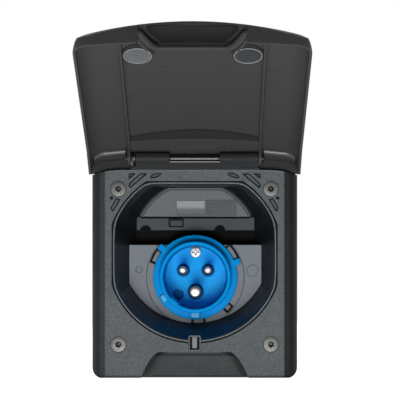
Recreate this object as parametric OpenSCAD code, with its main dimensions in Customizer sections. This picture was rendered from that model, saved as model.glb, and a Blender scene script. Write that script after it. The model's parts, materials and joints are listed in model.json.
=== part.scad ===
// Flush power inlet for the outside wall of a caravan: a front frame with a hinged lid,
// a tapered recess, and a blue three-pin inlet on a pedestal at the bottom of the recess.
// X runs to the right, +Y into the wall and +Z up. The origin is the centre of the four
// mounting screws, in the plane where the gasket meets the wall. The lid is shown open.

/* [Front frame] */
// Width of the frame over its flanks
frame_w = 123.2; // [121:0.2:126]
// Height of the frame's top edge above the screw centre
frame_up = 57.6; // [57.4:0.1:60]
// Depth of the frame's bottom edge below the screw centre
frame_down = 66.4; // [65:0.2:70]
// Thickness of the frame from its face to its rear edge
frame_t = 12.5; // [12:0.1:14]
// Wall of the hollow frame
frame_wall = 2.5; // [2:0.1:3]
// Radius of the frame's bottom corners
frame_corner_r = 6; // [4:0.5:8]
// Drop of the arched top edge at the corners
frame_arch = 2.6; // [2:0.1:3]
// Width of the curved flank at each side of the face
flank_w = 8.4; // [7:0.2:9]
// Depth of the curved flank behind the face
flank_depth = 9; // [7:0.2:9.6]
// Thickness of the wall gasket
gasket_t = 1.5; // [1:0.1:3]

/* [Wall screws] */
// Distance between the screws across the frame
screw_dx = 91; // [89:0.5:93]
// Distance between the screws up the frame
screw_dz = 92.8; // [91:0.2:94]
// Diameter of the screw shank
screw_d = 5; // [4:0.1:5.5]
// Diameter of the countersunk head
screw_head_d = 9.2; // [8:0.1:9.6]
// Length of the screw behind the wall plane
screw_reach = 18; // [10:1:30]

/* [Recess] */
// Radius of the round mouth in the frame
mouth_r = 52.7; // [52:0.1:53.2]
// Height of the mouth's centre above the screw centre
mouth_up = 6.9; // [6.4:0.1:7.2]
// Distance from the frame's side to the mouth's straight side
mouth_side = 12.1; // [11.6:0.1:13.1]
// Height of the mouth's flat top above its own centre
mouth_top = 44.1; // [43.5:0.1:44.3]
// Width of the dark seal line round the recess lip
seal_w = 0.7; // [0.5:0.1:0.9]
// Wall of the recess housing, which shows as the lip
housing_wall = 1.5; // [1.3:0.1:1.8]
// Depth of the back wall behind the face
recess_depth = 61; // [59:0.5:64]
// Distance from the back wall forward to the pedestal's front
pedestal_stand = 16; // [14:0.5:18]
// Height of the pedestal's top edge above the screw centre
pedestal_up = 13.7; // [12:0.1:15]
// Thickness of the pedestal plate
pedestal_t = 2.5; // [2:0.1:3]

/* [Inlet] */
// Depth of the inlet axis below the screw centre
inlet_drop = 6.4; // [5.5:0.1:6.8]
// Outer diameter of the round shroud
shroud_d = 44; // [43:0.2:45]
// Wall of the shroud
shroud_wall = 2.3; // [2:0.1:2.6]
// Distance from the shroud's rim back to the pedestal
shroud_stand = 15; // [13:0.5:18]
// Depth of the contact face behind the rim
contact_depth = 36; // [34:0.5:38]
// Thickness of the contact block
block_t = 14; // [12:0.5:16]
// Radius of the circle on which the pins stand
pin_circle_r = 9; // [8.8:0.05:9.2]
// Diameter of the line and neutral pins
live_pin_d = 5; // [4.8:0.05:5.2]
// Diameter of the earth pin
earth_pin_d = 7; // [6.8:0.05:7.2]
// Diameter of the inlet's base flange
flange_d = 52.5; // [51:0.5:54]

/* [Hinge and lid] */
// Opening angle of the lid from closed
open_angle = 114; // [0:1:114]
// Height of the hinge pin above the frame's top edge
hinge_rise = 7.1; // [7:0.1:8]
// Depth of the hinge pin behind the frame's face
hinge_back = 3; // [2.8:0.1:3.4]
// Diameter of the hinge pin
hinge_pin_d = 4; // [3:0.1:4.4]
// Radius of the knuckles round the pin
knuckle_r = 3.6; // [3.2:0.1:3.7]
// Gap between the lid's walls and the frame's sides
lid_side_gap = 0.4; // [0.4:0.1:1]
// Wall of the lid's skirt
lid_wall = 1.4; // [1.2:0.1:1.6]
// Thickness of the lid's front plate
lid_plate = 2.2; // [2:0.1:2.6]
// Gap between the frame's face and the middle of the lid's plate
lid_gap = 4; // [3.9:0.1:5]
// Radius of the lid's vaulted front
lid_vault_r = 430; // [425:5:520]
// Depth of the lid's skirt behind the frame's face
lid_wrap = 7.4; // [7:0.1:8]
// Distance from the frame's bottom edge to the middle of the lid's bowed end
lid_overhang = 6.9; // [6.8:0.1:8]
// Diameter of the lid's magnets
magnet_d = 14.5; // [13:0.1:15]
// Distance of each magnet from the middle of the lid
magnet_x = 29.8; // [29:0.1:30]

/* [Rear] */
// Outer diameter of the rear cover
cover_d = 54; // [53:0.5:55]
// Length of the rear cover behind the recess housing
cover_len = 35; // [34:0.5:40]
// Diameter of the cable that the gland takes
cable_d = 8.4; // [7:0.1:9]

/* [Hidden] */
$fn = 96;

// Clearances that the fits share
slip = 0.3;
fit = 0.05;
pin_play = 0.05;

// Planes of the front frame
face_y = -(frame_t + gasket_t);
frame_rear_y = -gasket_t;
frame_half = frame_w / 2;
face_half = frame_half - flank_w;
skin_y = face_y + frame_wall;
frame_edge_r = 1.6;

// Flat stretch of the frame's top edge, and the radius that takes it down to the corners
arch_half = 42;
arch_r = (pow(frame_half - arch_half, 2) + frame_arch * frame_arch) / (2 * frame_arch);
function frame_top(x) =
    x < arch_half ? frame_up : frame_up - arch_r + sqrt(arch_r * arch_r - pow(x - arch_half, 2));

// Hinge axis, and the angle at which the lid stands open
hinge_y = face_y + hinge_back;
hinge_z = frame_up + hinge_rise;
lid_stop = 114;

// Bosses of the wall screws, and the plain neck of a screw under its head
boss_r = screw_head_d / 2 + 2;
screw_neck_r = screw_d / 2 - 0.3;

// Recess planes, and the outlines at its front, its shoulder and its back:
// depth, radius, centre height, half width and flat top
lip = seal_w + housing_wall;
mouth_half_w = frame_half - mouth_side;
back_y = face_y + recess_depth;
shoulder_y = back_y - 7;
pedestal_y = back_y - pedestal_stand;
recess_top = mouth_up + mouth_top - lip;
recess_rise = 1.5;
front_outline = [face_y, mouth_r - lip, mouth_up, mouth_half_w - lip, recess_top];
back_top = recess_top + recess_rise;
function narrowed(y, r, up, w) = [y, mouth_r - lip - r, mouth_up + up, mouth_half_w - lip - w, back_top];
shoulder_outline = narrowed(shoulder_y, 4.5, 5.5, 7);
back_outline = narrowed(back_y, 10.3, 7.9, 9.8);
shell_outline = narrowed(back_y, 5.2, 6.2, 8);

// Housing flange behind the frame's skin, and the latch tongue at the foot of the lip
housing_flange = 3;
housing_flange_t = 2;
latch_w = 7;
latch_tongue_w = 3.7;
latch_slit = 0.9;
latch_drop = 4.2;
mouth_bottom = mouth_up - mouth_r;

// Inlet planes along Y
inlet_z = -inlet_drop;
rim_y = pedestal_y - shroud_stand;
contact_y = rim_y + contact_depth;
block_rear_y = contact_y + block_t;
ledge_t = 2;
shroud_rear_y = block_rear_y + ledge_t;
shroud_r = shroud_d / 2;
shroud_bore_r = shroud_r - shroud_wall;
flange_r = flange_d / 2;
inlet_seal_t = 0.8;
flange_t = 2.5;
flange_rear_y = pedestal_y - inlet_seal_t;
pin_tip_y = rim_y + 2.5;
terminal_len = 10;
terminal_y = block_rear_y + terminal_len / 2;
terminal_screw_r = 1.2;
terminal_screw_in = 1.7;
terminal_screw_out = 5.4;
wire_bore_r = 1.6;
live_terminal_r = live_pin_d / 2 + 1.1;
earth_terminal_r = earth_pin_d / 2 + 0.8;
ledge_bore_r = pin_circle_r + max(live_terminal_r, earth_terminal_r) + 0.7;
block_screw_r = shroud_bore_r - 3.7;
block_screw_shank = 1.4;
block_screw_head = 3.1;
well_r = live_pin_d / 2 + 1.6;
key_turn = 229;
locking_ring_t = 4;
locking_ring_r = flange_r + 0.4;
locking_ring_y = pedestal_y + pedestal_t;

// Rear cover, its screws and the cable gland
housing_rear_y = back_y + housing_wall + 0.5;
cover_r = cover_d / 2;
cover_wall = 2;
cover_seal_t = 1;
cover_front_y = housing_rear_y + cover_seal_t;
cover_end_y = cover_front_y + cover_len;
rear_hole_r = shroud_r + 1;
cover_ear_r = 4.2;
cover_ear_t = 4;
cover_ear_at = cover_r + 4;
cover_ear_angles = [20, 160, 200, 340];
cover_screw_r = 1.5;
cover_boss_r = 3;
cover_boss_len = 6;
gland_y = cover_end_y - 12;
gland_bore_r = cable_d / 2;
gland_thread_r = gland_bore_r + 3.4;
gland_boss_r = gland_thread_r + 2.4;
gland_top_z = inlet_z - cover_r + cover_wall + 0.5;
gland_seat_z = inlet_z - cover_r - 3;
gland_collar_t = 4;
gland_stem = 9;
gland_nut_t = 13;
gland_len = gland_top_z - gland_seat_z + gland_collar_t + gland_stem;
gland_collar_r = gland_thread_r + 2.6;

// Hinge stations across the frame
exposed_half = 15;
knuckle_left = 35.2;
ear_in = 38.2;
knuckle_right = ear_in - slip;
ear_t = 1.8;
ear_out = ear_in + ear_t;
ear_r = hinge_pin_d / 2 + 2.4;
neck_half = ear_in - slip;
clip_r = hinge_pin_d / 2 + 1.5;
clip_leg = 1;

// Lid in its own frame, with the pin at the origin, Y towards the wall and -Z down the closed lid
lid_half = frame_half + lid_side_gap + lid_wall;
face_e = -hinge_back;
plate_in_e = face_e - lid_gap;
plate_out_e = plate_in_e - lid_plate;
rim_e = face_e + lid_wrap;
lid_head = 6.2;
lid_len = hinge_z + frame_down + lid_overhang;
lid_inner_corner_r = frame_corner_r + lid_side_gap + 1.2;
lid_corner_r = lid_inner_corner_r + lid_wall + 0.8;
lid_end_r = 440;
lid_end_lean = 2;
lid_edge_r = 11;
lid_trim_r = 150;
lid_trim_wall = 1.4;
land_e = -(knuckle_r + 0.2);
land_len = 18;
land_end_r = 200;
land_slope = 5;
head_tip_out = tip_e(frame_half);
rib_t = 1.3;
rib_h = 2.2;
seat_e = plate_in_e + 1.2;
magnet_t = 2;
magnet_v = hinge_z + screw_dz / 2 - 1.1;
magnet_seat_r = magnet_d / 2 + 0.1;
magnet_cup_wall = 1.2;
magnet_cup_h = 1.4;

// Finger pocket in the lid's lower end, and the scoop in the frame that it drops into
scoop_drop = 5.1;
scoop_top_z = mouth_bottom - scoop_drop;
pocket_drop = 3.9;
pocket_v = hinge_z - scoop_top_z + pocket_drop;
pocket_lean = 4.4;
pocket_edge_e = 1;
pocket_half_top = 18.5;
pocket_half_end = 30;
pocket_wall = 1.4;
scoop_gap = 0.6;
scoop_half_top = pocket_half_top + pocket_wall + scoop_gap + 0.5;
scoop_half_end = pocket_half_end + pocket_wall + scoop_gap + 0.6;
scoop_deep = pocket_edge_e - face_e + scoop_gap + 0.6;
scoop_ramp = 2.4;
scoop_floor_drop = 1.2;

// Recessed corner slots of the face, measured from the upper right screw
slot_deep = 1.2;
slot_corner = [[-6.3, 9.1], [-10.5, 9.1], [-6.3, 5.8]];
slot_long = [[-6.3, 2.9], [-12.8, 9.1], [-17.3, 9.1], [-7.2, 0.5], [-6.3, 1.1]];
slot_side = [[1.2, -5.5], [-1.2, -6.4], [2.9, -13.5], [4.1, -12.9], [4.4, -10.9]];
slot_lens_at = [-22.2, 7.9];
slot_lens_l = 7.3;
slot_lens_w = 2.4;
slot_lens_turn = -19;
slot_dot_at = [4, -5.5];
slot_dot_r = 1;

// Magnet keepers behind the face, just outside the recess flange
keeper_r = 4.5;
keeper_t = 2;
keeper_reach = mouth_r + housing_flange + keeper_r + slip;
keeper_turn = -58.3;

// Seal strip and label on the back wall
shelf_seal_t = 1.5;
shelf_pads = [-31.5, 15.3];
label_up = 31.9;
label_t = 0.6;
label_r = back_outline[1] - 1.2;
label_half = back_outline[3] - slip;
blank_w = 17.7;
blank_h = 9.5;
blank_x = -11.9;
blank_t = 0.2;

graphite = "#4a5054";
graphite_dark = "#34383b";
lid_grey = "#4b4b4c";
inlet_blue = "#1a86dc";
steel = "#c9ccd0";
black_rubber = "#161718";
pale_grey = "#8b9094";
brass = "#c8a552";

// Extrudes a drawing in X and Z from Y = y0 to Y = y1
module along_y(y0, y1) {
    translate([0, y1, 0])
        rotate([90, 0, 0])
            linear_extrude(y1 - y0)
                children();
}

// Extrudes a drawing in Y and Z from X = x0 to X = x1
module along_x(x0, x1) {
    translate([x0, 0, 0])
        rotate([90, 0, 90])
            linear_extrude(x1 - x0)
                children();
}

// Round bar along Y
module bar_y(y0, y1, r) {
    translate([0, y1, 0])
        rotate([90, 0, 0])
            cylinder(h = y1 - y0, r = r);
}

// Round bar along X
module bar_x(x0, x1, r) {
    translate([x0, 0, 0])
        rotate([0, 90, 0])
            cylinder(h = x1 - x0, r = r);
}

// Ring along Y with a plain bore
module ring_y(y0, y1, r, bore) {
    difference() {
        bar_y(y0, y1, r);
        bar_y(y0 - 1, y1 + 1, bore);
    }
}

module mirrored() {
    children();
    mirror([1, 0, 0])
        children();
}

module at_screws() {
    for (sx = [-1, 1], sz = [-1, 1])
        translate([sx * screw_dx / 2, 0, sz * screw_dz / 2])
            children();
}

module at_inlet() {
    translate([0, 0, inlet_z])
        children();
}

// Round outline with straight sides and a flat top
module clipped_round(r, up, half_w, top) {
    intersection() {
        translate([0, up])
            circle(r = r, $fn = 128);
        translate([-half_w, up - r - 1])
            square([2 * half_w, top - up + r + 1]);
    }
}

// Outline of the mouth, drawn in by d
module mouth(d) {
    clipped_round(mouth_r - d, mouth_up, mouth_half_w - d, mouth_up + mouth_top - d);
}

// Frame outline drawn in by d: square below with round corners, and an arched top
module frame_outline(d) {
    half = frame_half - d;
    r = frame_corner_r - min(d, frame_corner_r - 1);
    steps = 12;
    shoulder = [
        for (i = [0:steps])
            let (x = half + 1 - (half + 1 - arch_half) * i / steps)
                [x, frame_top(x) - d]
    ];
    left = [for (i = [steps:-1:0]) [-shoulder[i][0], shoulder[i][1]]];
    low = -frame_down - 1;
    intersection() {
        polygon(concat([[-half - 1, low], [half + 1, low]], shoulder, left));
        union() {
            translate([-half, d - frame_down + r])
                square([2 * half, frame_up + frame_down]);
            translate([r - half, d - frame_down])
                square([2 * (half - r), frame_up + frame_down]);
            for (s = [-1, 1])
                translate([s * (half - r), d - frame_down + r])
                    circle(r = r);
        }
    }
}

// Cross-section of the frame in X and Y, drawn in by d: a flat face between two flanks,
// each a quadratic curve from the face's edge round to the side
module frame_section(d) {
    steps = 8;
    half = frame_half - d;
    edge = face_half - d / 2;
    front = face_y + d;
    knee = [half - 2, front + 2.5];
    heel = [half, front + flank_depth - d];
    function flank(t) = (1 - t) * (1 - t) * [edge, front] + 2 * t * (1 - t) * knee + t * t * heel;
    right = [for (i = [0:steps]) flank(i / steps)];
    left = [for (i = [steps:-1:0]) [-flank(i / steps)[0], flank(i / steps)[1]]];
    polygon(concat([[-half, 1], [-half, heel[1]]], left, right, [[half, heel[1]], [half, 1]]));
}

// Side view of the frame drawn in by d, with a round lower front edge
module frame_profile(d) {
    steps = 5;
    r = frame_edge_r;
    front = face_y + d;
    bottom = d - frame_down;
    edge = [
        for (i = [0:steps])
            let (a = 90 * i / steps)
                [front + r - r * cos(a), bottom + r - r * sin(a)]
    ];
    polygon(concat(edge, [[1, bottom], [1, frame_up + 1], [front, frame_up + 1]]));
}

module frame_block(d) {
    intersection() {
        along_x(-frame_half - 1, frame_half + 1)
            frame_profile(d);
        along_y(face_y - 1, frame_rear_y)
            frame_outline(d);
        translate([0, 0, -frame_down - 1])
            linear_extrude(frame_up + frame_down + 2)
                frame_section(d);
    }
}

// Bell outline that widens from one half width at the top to another at the bottom
module bell(half_top, half_end, top, bottom) {
    steps = 12;
    right = [
        for (i = [0:steps])
            let (swing = i / steps, t = pow(swing, 1.7))
                [half_top + (half_end - half_top) * swing, top + (bottom - top) * t]
    ];
    left = [for (i = [steps:-1:0]) [-right[i][0], right[i][1]]];
    polygon(concat(right, left));
}

// Scoop below the lip: a bell that widens downwards, with a steep ramp and a sloped floor
module scoop(grow) {
    bottom = -frame_down - 1;
    intersection() {
        along_y(face_y - 2, 0)
            bell(scoop_half_top + grow, scoop_half_end + grow, scoop_top_z + grow, bottom);
        along_x(-frame_half, frame_half)
            polygon([
                [face_y - 1, scoop_top_z + grow + 0.5],
                [face_y, scoop_top_z + grow],
                [face_y + scoop_deep + grow, scoop_top_z - scoop_ramp],
                [face_y + scoop_deep + scoop_floor_drop + grow, bottom],
                [face_y - 1, bottom]
            ]);
    }
}

// Slots of one upper corner, drawn about the upper right screw
module corner_slots() {
    translate([screw_dx / 2, screw_dz / 2]) {
        polygon(slot_corner);
        polygon(slot_long);
        polygon(slot_side);
        translate(slot_dot_at)
            circle(r = slot_dot_r, $fn = 24);
        translate(slot_lens_at)
            rotate(slot_lens_turn)
                intersection_for (s = [-1, 1])
                    translate([0, s * lens_offset()])
                        circle(r = lens_r());
    }
}

// A lens is the overlap of two equal circles
function lens_r() = (slot_lens_l * slot_lens_l + slot_lens_w * slot_lens_w) / (4 * slot_lens_w);
function lens_offset() = lens_r() - slot_lens_w / 2;

// Neck and knuckles that carry the hinge pin above the frame
module hinge_neck() {
    neck_top = hinge_z - hinge_pin_d / 2 - slip;
    neck_front = hinge_y - 2.4;
    neck_rear = hinge_y + knuckle_r;
    neck_foot = frame_up - frame_wall;
    clip_foot = hinge_z - clip_r - clip_leg - slip;
    translate([-knuckle_left, neck_front, neck_foot])
        cube([knuckle_left + neck_half, neck_rear - neck_front, neck_top - neck_foot]);
    translate([-neck_half, neck_front, neck_foot])
        cube([neck_half, neck_rear - neck_front, clip_foot - neck_foot]);
    translate([0, hinge_y, hinge_z])
        difference() {
            union() {
                bar_x(-knuckle_left, -exposed_half, knuckle_r);
                bar_x(exposed_half, knuckle_right, knuckle_r);
                for (span = [[-knuckle_left, -exposed_half], [exposed_half, knuckle_right]])
                    translate([span[0], 0, neck_top - hinge_z - 1])
                        cube([span[1] - span[0], knuckle_r, hinge_z - neck_top + 1]);
            }
            bar_x(-knuckle_left - 1, knuckle_right + 1, hinge_pin_d / 2 + fit);
        }
}

module front_frame() {
    color(graphite)
        difference() {
            union() {
                difference() {
                    frame_block(0);
                    difference() {
                        intersection() {
                            frame_block(frame_wall);
                            along_y(skin_y, 0)
                                frame_outline(frame_wall);
                        }
                        at_screws()
                            bar_y(face_y, 0, boss_r);
                        scoop(frame_wall);
                    }
                    along_y(face_y - 1, skin_y + 1)
                        mouth(0);
                }
                hinge_neck();
            }
            scoop(0);
            translate([-latch_w / 2 - slip, face_y - 1, mouth_bottom - latch_drop - slip])
                cube([latch_w + 2 * slip, frame_wall + 2, latch_drop + 4]);
            along_y(face_y - 1, face_y + slot_deep)
                mirrored()
                    corner_slots();
            at_screws() {
                bar_y(face_y - 1, 1, screw_d / 2 + slip);
                countersink(slip);
            }
        }
}

// Countersunk seat or head: a cone of 90 degrees from the face
module countersink(gap) {
    head = screw_head_d / 2 + gap;
    shank = screw_d / 2 + gap;
    translate([0, face_y, 0])
        rotate([-90, 0, 0])
            cylinder(h = head - shank, r1 = head, r2 = shank);
}

// Flat gasket just inside the frame's outline, with a straight top behind the arch
module wall_gasket() {
    gasket_in = 1;
    color(black_rubber)
        difference() {
            along_y(frame_rear_y, 0)
                difference() {
                    union() {
                        frame_outline(gasket_in);
                        translate([gasket_in - frame_half, 0])
                            square([2 * (frame_half - gasket_in), frame_up - slip]);
                    }
                    mouth(-2);
                }
            at_screws()
                bar_y(frame_rear_y - 1, 1, screw_d / 2 + slip);
        }
}

module mounting_screws() {
    drive_r = 1.6;
    color(steel)
        at_screws()
            difference() {
                union() {
                    countersink(0);
                    bar_y(face_y + 0.5, 1, screw_neck_r);
                    bar_y(0, screw_reach, screw_d / 2);
                }
                translate([0, face_y + 1.4, 0])
                    rotate([90, 0, 0])
                        cylinder(h = 3, r = drive_r, $fn = 6);
            }
}

// One thin slice of the recess, drawn out by grow
module recess_slice(outline, y0, y1, grow) {
    along_y(y0, y1)
        clipped_round(outline[1] + grow, outline[2], outline[3] + grow, outline[4] + grow);
}

// Hollow of the recess, drawn out by grow
module recess_hollow(grow) {
    slice = 0.02;
    hull() {
        recess_slice(front_outline, face_y - 1, face_y, grow);
        recess_slice(shoulder_outline, shoulder_y, shoulder_y + slice, grow);
        recess_slice(back_outline, back_y - slice, back_y, grow);
    }
}

module recess_shell() {
    slice = 0.02;
    hull() {
        recess_slice(front_outline, face_y, face_y + slice, housing_wall);
        recess_slice(shell_outline, housing_rear_y - slice, housing_rear_y, housing_wall);
    }
}

module cover_screw_places() {
    at_inlet()
        for (a = cover_ear_angles)
            translate([cover_ear_at * cos(a), 0, cover_ear_at * sin(a)])
                children();
}

module recess_housing() {
    tongue_z = mouth_bottom - latch_drop;
    color(graphite_dark)
        difference() {
            union() {
                difference() {
                    union() {
                        recess_shell();
                        difference() {
                            along_y(skin_y, skin_y + housing_flange_t)
                                mouth(-housing_flange);
                            at_screws()
                                bar_y(face_y, 0, boss_r + slip);
                            scoop(frame_wall + slip);
                        }
                    }
                    recess_hollow(0);
                }
                translate([-latch_w / 2, face_y + 0.3, tongue_z])
                    cube([latch_w, frame_wall - 0.3, latch_drop + lip + 0.4]);
                cover_screw_places()
                    bar_y(back_y - cover_boss_len, back_y, cover_boss_r);
                icon_frame();
            }
            at_inlet()
                bar_y(back_y - 12, housing_rear_y + 1, rear_hole_r);
            cover_screw_places()
                bar_y(back_y - cover_boss_len + 1, housing_rear_y + 1, cover_screw_r + fit);
            for (s = [-1, 1])
                translate([s * (latch_tongue_w + latch_slit) / 2, face_y, tongue_z + latch_slit])
                    translate([-latch_slit / 2, -1, 0])
                        cube([latch_slit, 2, latch_drop + lip]);
        }
}

// Raised rectangular frame on the back wall
module icon_frame() {
    w = 8.8;
    h = 4.8;
    line = 0.8;
    translate([-16.3, back_y - 0.5, label_up - 6.7])
        difference() {
            cube([w, 0.6, h]);
            translate([line, -1, line])
                cube([w - 2 * line, 3, h - 2 * line]);
        }
}

module aperture_seal() {
    color(black_rubber)
        difference() {
            along_y(face_y + 0.6, skin_y)
                difference() {
                    mouth(fit);
                    mouth(seal_w - fit);
                }
            translate([-latch_w / 2 - slip, face_y - 1, mouth_bottom - 1])
                cube([latch_w + 2 * slip, frame_wall + 2, 4]);
            recess_shell();
        }
}

// Snap tongue: a slit in the shape of a sector, open at one side
module snap_slit(mid, half) {
    r_out = flange_r + 3.4;
    slit = 0.6;
    rotate([90, 0, 0])
        translate([0, 0, -pedestal_y - 0.8])
            rotate([0, 0, mid - half])
                difference() {
                    rotate_extrude(angle = 2 * half)
                        translate([flange_r - 1, 0])
                            square([r_out - flange_r + 1, 2]);
                    translate([0, 0, -1])
                        rotate([0, 0, 2])
                            rotate_extrude(angle = 2 * half - 4)
                                translate([flange_r - 2, 0])
                                    square([r_out - flange_r + 2 - slit, 4]);
                }
}

module inlet_pedestal() {
    groove_r = flange_r + 4.2;
    disc_x = mouth_half_w - 13.9;
    disc_r = 3.4;
    dimple_r = 2.2;
    color(pale_grey)
        difference() {
            union() {
                intersection() {
                    recess_hollow(-slip);
                    union() {
                        translate([-frame_half, pedestal_y, -frame_down])
                            cube([frame_w, pedestal_t, frame_down + pedestal_up]);
                        translate([-frame_half, pedestal_y, pedestal_up - pedestal_t])
                            cube([frame_w, back_y - pedestal_y, pedestal_t]);
                    }
                }
                translate([disc_x, 0, inlet_z + 4.2])
                    bar_y(pedestal_y - 0.8, pedestal_y + 1, disc_r);
            }
            at_inlet() {
                bar_y(pedestal_y - 2, back_y, shroud_r + slip);
                bar_y(locking_ring_y, locking_ring_y + locking_ring_t + slip, locking_ring_r + slip);
                ring_y(pedestal_y - 2, pedestal_y + 0.4, groove_r + 0.3, groove_r - 0.3);
                snap_slit(152, 9);
                snap_slit(34, 10);
                snap_slit(-43, 5);
                snap_slit(-86, 8);
            }
            translate([-disc_x + 0.5, 0, inlet_z + 4.8])
                bar_y(pedestal_y - 2, pedestal_y + 0.8, dimple_r);
        }
}

// Rubber strip on the back wall above the pedestal's shelf, with two round pads on its edge
module shelf_seal() {
    strip_h = 9.2;
    pad_r = 3.4;
    color(black_rubber)
        intersection() {
            recess_hollow(-slip);
            along_y(back_y - shelf_seal_t, back_y)
                difference() {
                    union() {
                        translate([-frame_half, pedestal_up])
                            square([frame_w, strip_h]);
                        for (x = shelf_pads)
                            translate([x, pedestal_up + strip_h])
                                circle(r = pad_r);
                    }
                    translate([0, inlet_z])
                        circle(r = rear_hole_r);
                }
        }
}

module label_panel() {
    color(pale_grey)
        along_y(back_y - label_t, back_y)
            intersection() {
                translate([0, back_outline[2]])
                    circle(r = label_r);
                translate([-label_half, label_up])
                    square([2 * label_half, back_outline[4] - slip - label_up]);
            }
}

module blank_label() {
    color("#a9adb0")
        translate([blank_x, back_y - label_t - blank_t, label_up + 0.4])
            cube([blank_w, blank_t, blank_h]);
}

// Shroud with its base flange, bayonet lugs, key rib and rear ledge
module inlet_shroud() {
    lug_r = flange_r + 3.4;
    lug_w = 4;
    tab_w = 4.4;
    color(inlet_blue)
        at_inlet()
            difference() {
                union() {
                    ring_y(rim_y, shroud_rear_y, shroud_r, shroud_bore_r);
                    ring_y(block_rear_y, shroud_rear_y, shroud_r - 1, ledge_bore_r);
                    ring_y(flange_rear_y - flange_t, flange_rear_y, flange_r, shroud_r - 1);
                    for (a = [139, 20])
                        rotate([0, -a, 0])
                            translate([shroud_r, flange_rear_y - flange_t, -lug_w / 2])
                                cube([lug_r - shroud_r, flange_t, lug_w]);
                    for (a = [215, 270])
                        rotate([0, -a, 0])
                            translate([shroud_r - 0.5, flange_rear_y - flange_t - 3, -tab_w / 2])
                                cube([2.4, flange_t + 2, tab_w]);
                    rotate([0, -key_turn, 0])
                        translate([shroud_bore_r - 1.6, rim_y + 1, -1.6])
                            cube([2.4, contact_depth - 2, 3.2]);
                }
                translate([0, 0, block_screw_r])
                    bar_y(block_rear_y - 1, shroud_rear_y + 1, block_screw_shank + fit);
            }
}

module inlet_seal() {
    color(black_rubber)
        at_inlet()
            ring_y(flange_rear_y, pedestal_y, flange_r - 0.6, shroud_r + slip);
}

module locking_ring() {
    grips = 12;
    color(graphite_dark)
        at_inlet()
            difference() {
                ring_y(locking_ring_y, locking_ring_y + locking_ring_t, locking_ring_r, shroud_r + fit);
                for (i = [0:grips - 1])
                    rotate([0, i * 360 / grips, 0])
                        translate([locking_ring_r + 0.8, 0, 0])
                            bar_y(pedestal_y, locking_ring_y + locking_ring_t + 1, 1.8);
            }
}

// Places of the pins round the inlet axis, with the earth pin at the bottom
module at_pin(turn) {
    at_inlet()
        translate([pin_circle_r * cos(turn), 0, pin_circle_r * sin(turn)])
            children();
}

line_turn = 150;
neutral_turn = 30;
earth_turn = 270;

module contact_block() {
    recess_turn = 225;
    color(inlet_blue)
        difference() {
            at_inlet()
                bar_y(contact_y, block_rear_y, shroud_bore_r - 0.2);
            for (turn = [line_turn, neutral_turn])
                at_pin(turn) {
                    bar_y(contact_y - 1, block_rear_y + 1, live_pin_d / 2 + fit);
                    bar_y(contact_y - 1, contact_y + 2, well_r);
                }
            at_pin(earth_turn) {
                bar_y(contact_y - 1, block_rear_y + 1, earth_pin_d / 2 + fit);
                bar_y(contact_y - 1, contact_y + 1, earth_pin_d / 2 + 0.8);
            }
            at_inlet() {
                translate([0, 0, block_screw_r])
                    bar_y(contact_y - 1, block_rear_y + 1, block_screw_shank + fit);
                rotate([0, -recess_turn, 0])
                    translate([block_screw_r - 0.4, 0, 0])
                        bar_y(contact_y - 1, contact_y + 8, 3.4);
                rotate([0, -key_turn, 0])
                    translate([shroud_bore_r - 1.9, contact_y - 1, -1.9])
                        cube([3, contact_depth, 3.8]);
            }
        }
}

// Contact pin with a domed tip, and a terminal barrel with a wire bore behind the block
module contact_pin(d, terminal_r) {
    tip = 1;
    translate([0, pin_tip_y, 0])
        rotate([-90, 0, 0])
            difference() {
                union() {
                    cylinder(h = tip, r1 = d / 2 - tip, r2 = d / 2);
                    translate([0, 0, tip])
                        cylinder(h = block_rear_y - pin_tip_y - tip, r = d / 2);
                    translate([0, 0, block_rear_y - pin_tip_y])
                        cylinder(h = terminal_len, r = terminal_r);
                }
                translate([0, 0, block_rear_y - pin_tip_y + 2])
                    cylinder(h = terminal_len, r = wire_bore_r);
            }
}

// Radial screw hole of one terminal barrel, on the side away from the inlet axis
module terminal_hole(turn, gap) {
    at_inlet()
        translate([0, terminal_y + 1, 0])
            rotate([0, -turn, 0])
                translate([pin_circle_r, 0, 0])
                    bar_x(terminal_screw_in, terminal_screw_out, terminal_screw_r + gap);
}

module line_pin() {
    color(steel)
        difference() {
            at_pin(line_turn)
                contact_pin(live_pin_d, live_terminal_r);
            terminal_hole(line_turn, fit);
        }
}

module neutral_pin() {
    color(steel)
        difference() {
            at_pin(neutral_turn)
                contact_pin(live_pin_d, live_terminal_r);
            terminal_hole(neutral_turn, fit);
        }
}

module earth_pin() {
    color(steel)
        difference() {
            at_pin(earth_turn)
                contact_pin(earth_pin_d, earth_terminal_r);
            terminal_hole(earth_turn, fit);
        }
}

module block_screw() {
    color(steel)
        at_inlet()
            translate([0, 0, block_screw_r])
                difference() {
                    union() {
                        bar_y(contact_y - 2, contact_y, block_screw_head);
                        bar_y(contact_y - 0.5, shroud_rear_y, block_screw_shank);
                    }
                    for (a = [0, 90])
                        rotate([0, a, 0])
                            translate([-2, contact_y - 3, -0.4])
                                cube([4, 2, 0.8]);
                }
}

module terminal_screws() {
    color(brass)
        for (turn = [line_turn, neutral_turn, earth_turn])
            terminal_hole(turn, 0);
}

// Round cover over the terminals, with ears for its screws and a boss for the gland
module rear_cover() {
    color(graphite_dark)
        difference() {
            union() {
                at_inlet()
                    bar_y(cover_front_y, cover_end_y, cover_r);
                cover_screw_places()
                    bar_y(cover_front_y, cover_front_y + cover_ear_t, cover_ear_r);
                translate([0, gland_y, gland_seat_z])
                    cylinder(h = cover_r, r = gland_boss_r);
            }
            at_inlet()
                bar_y(cover_front_y - 1, cover_end_y - cover_wall, cover_r - cover_wall);
            cover_screw_places()
                bar_y(cover_front_y - 1, cover_end_y, cover_screw_r + slip);
            translate([0, gland_y, gland_seat_z - 1])
                cylinder(h = cover_r, r = gland_thread_r + fit);
        }
}

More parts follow.
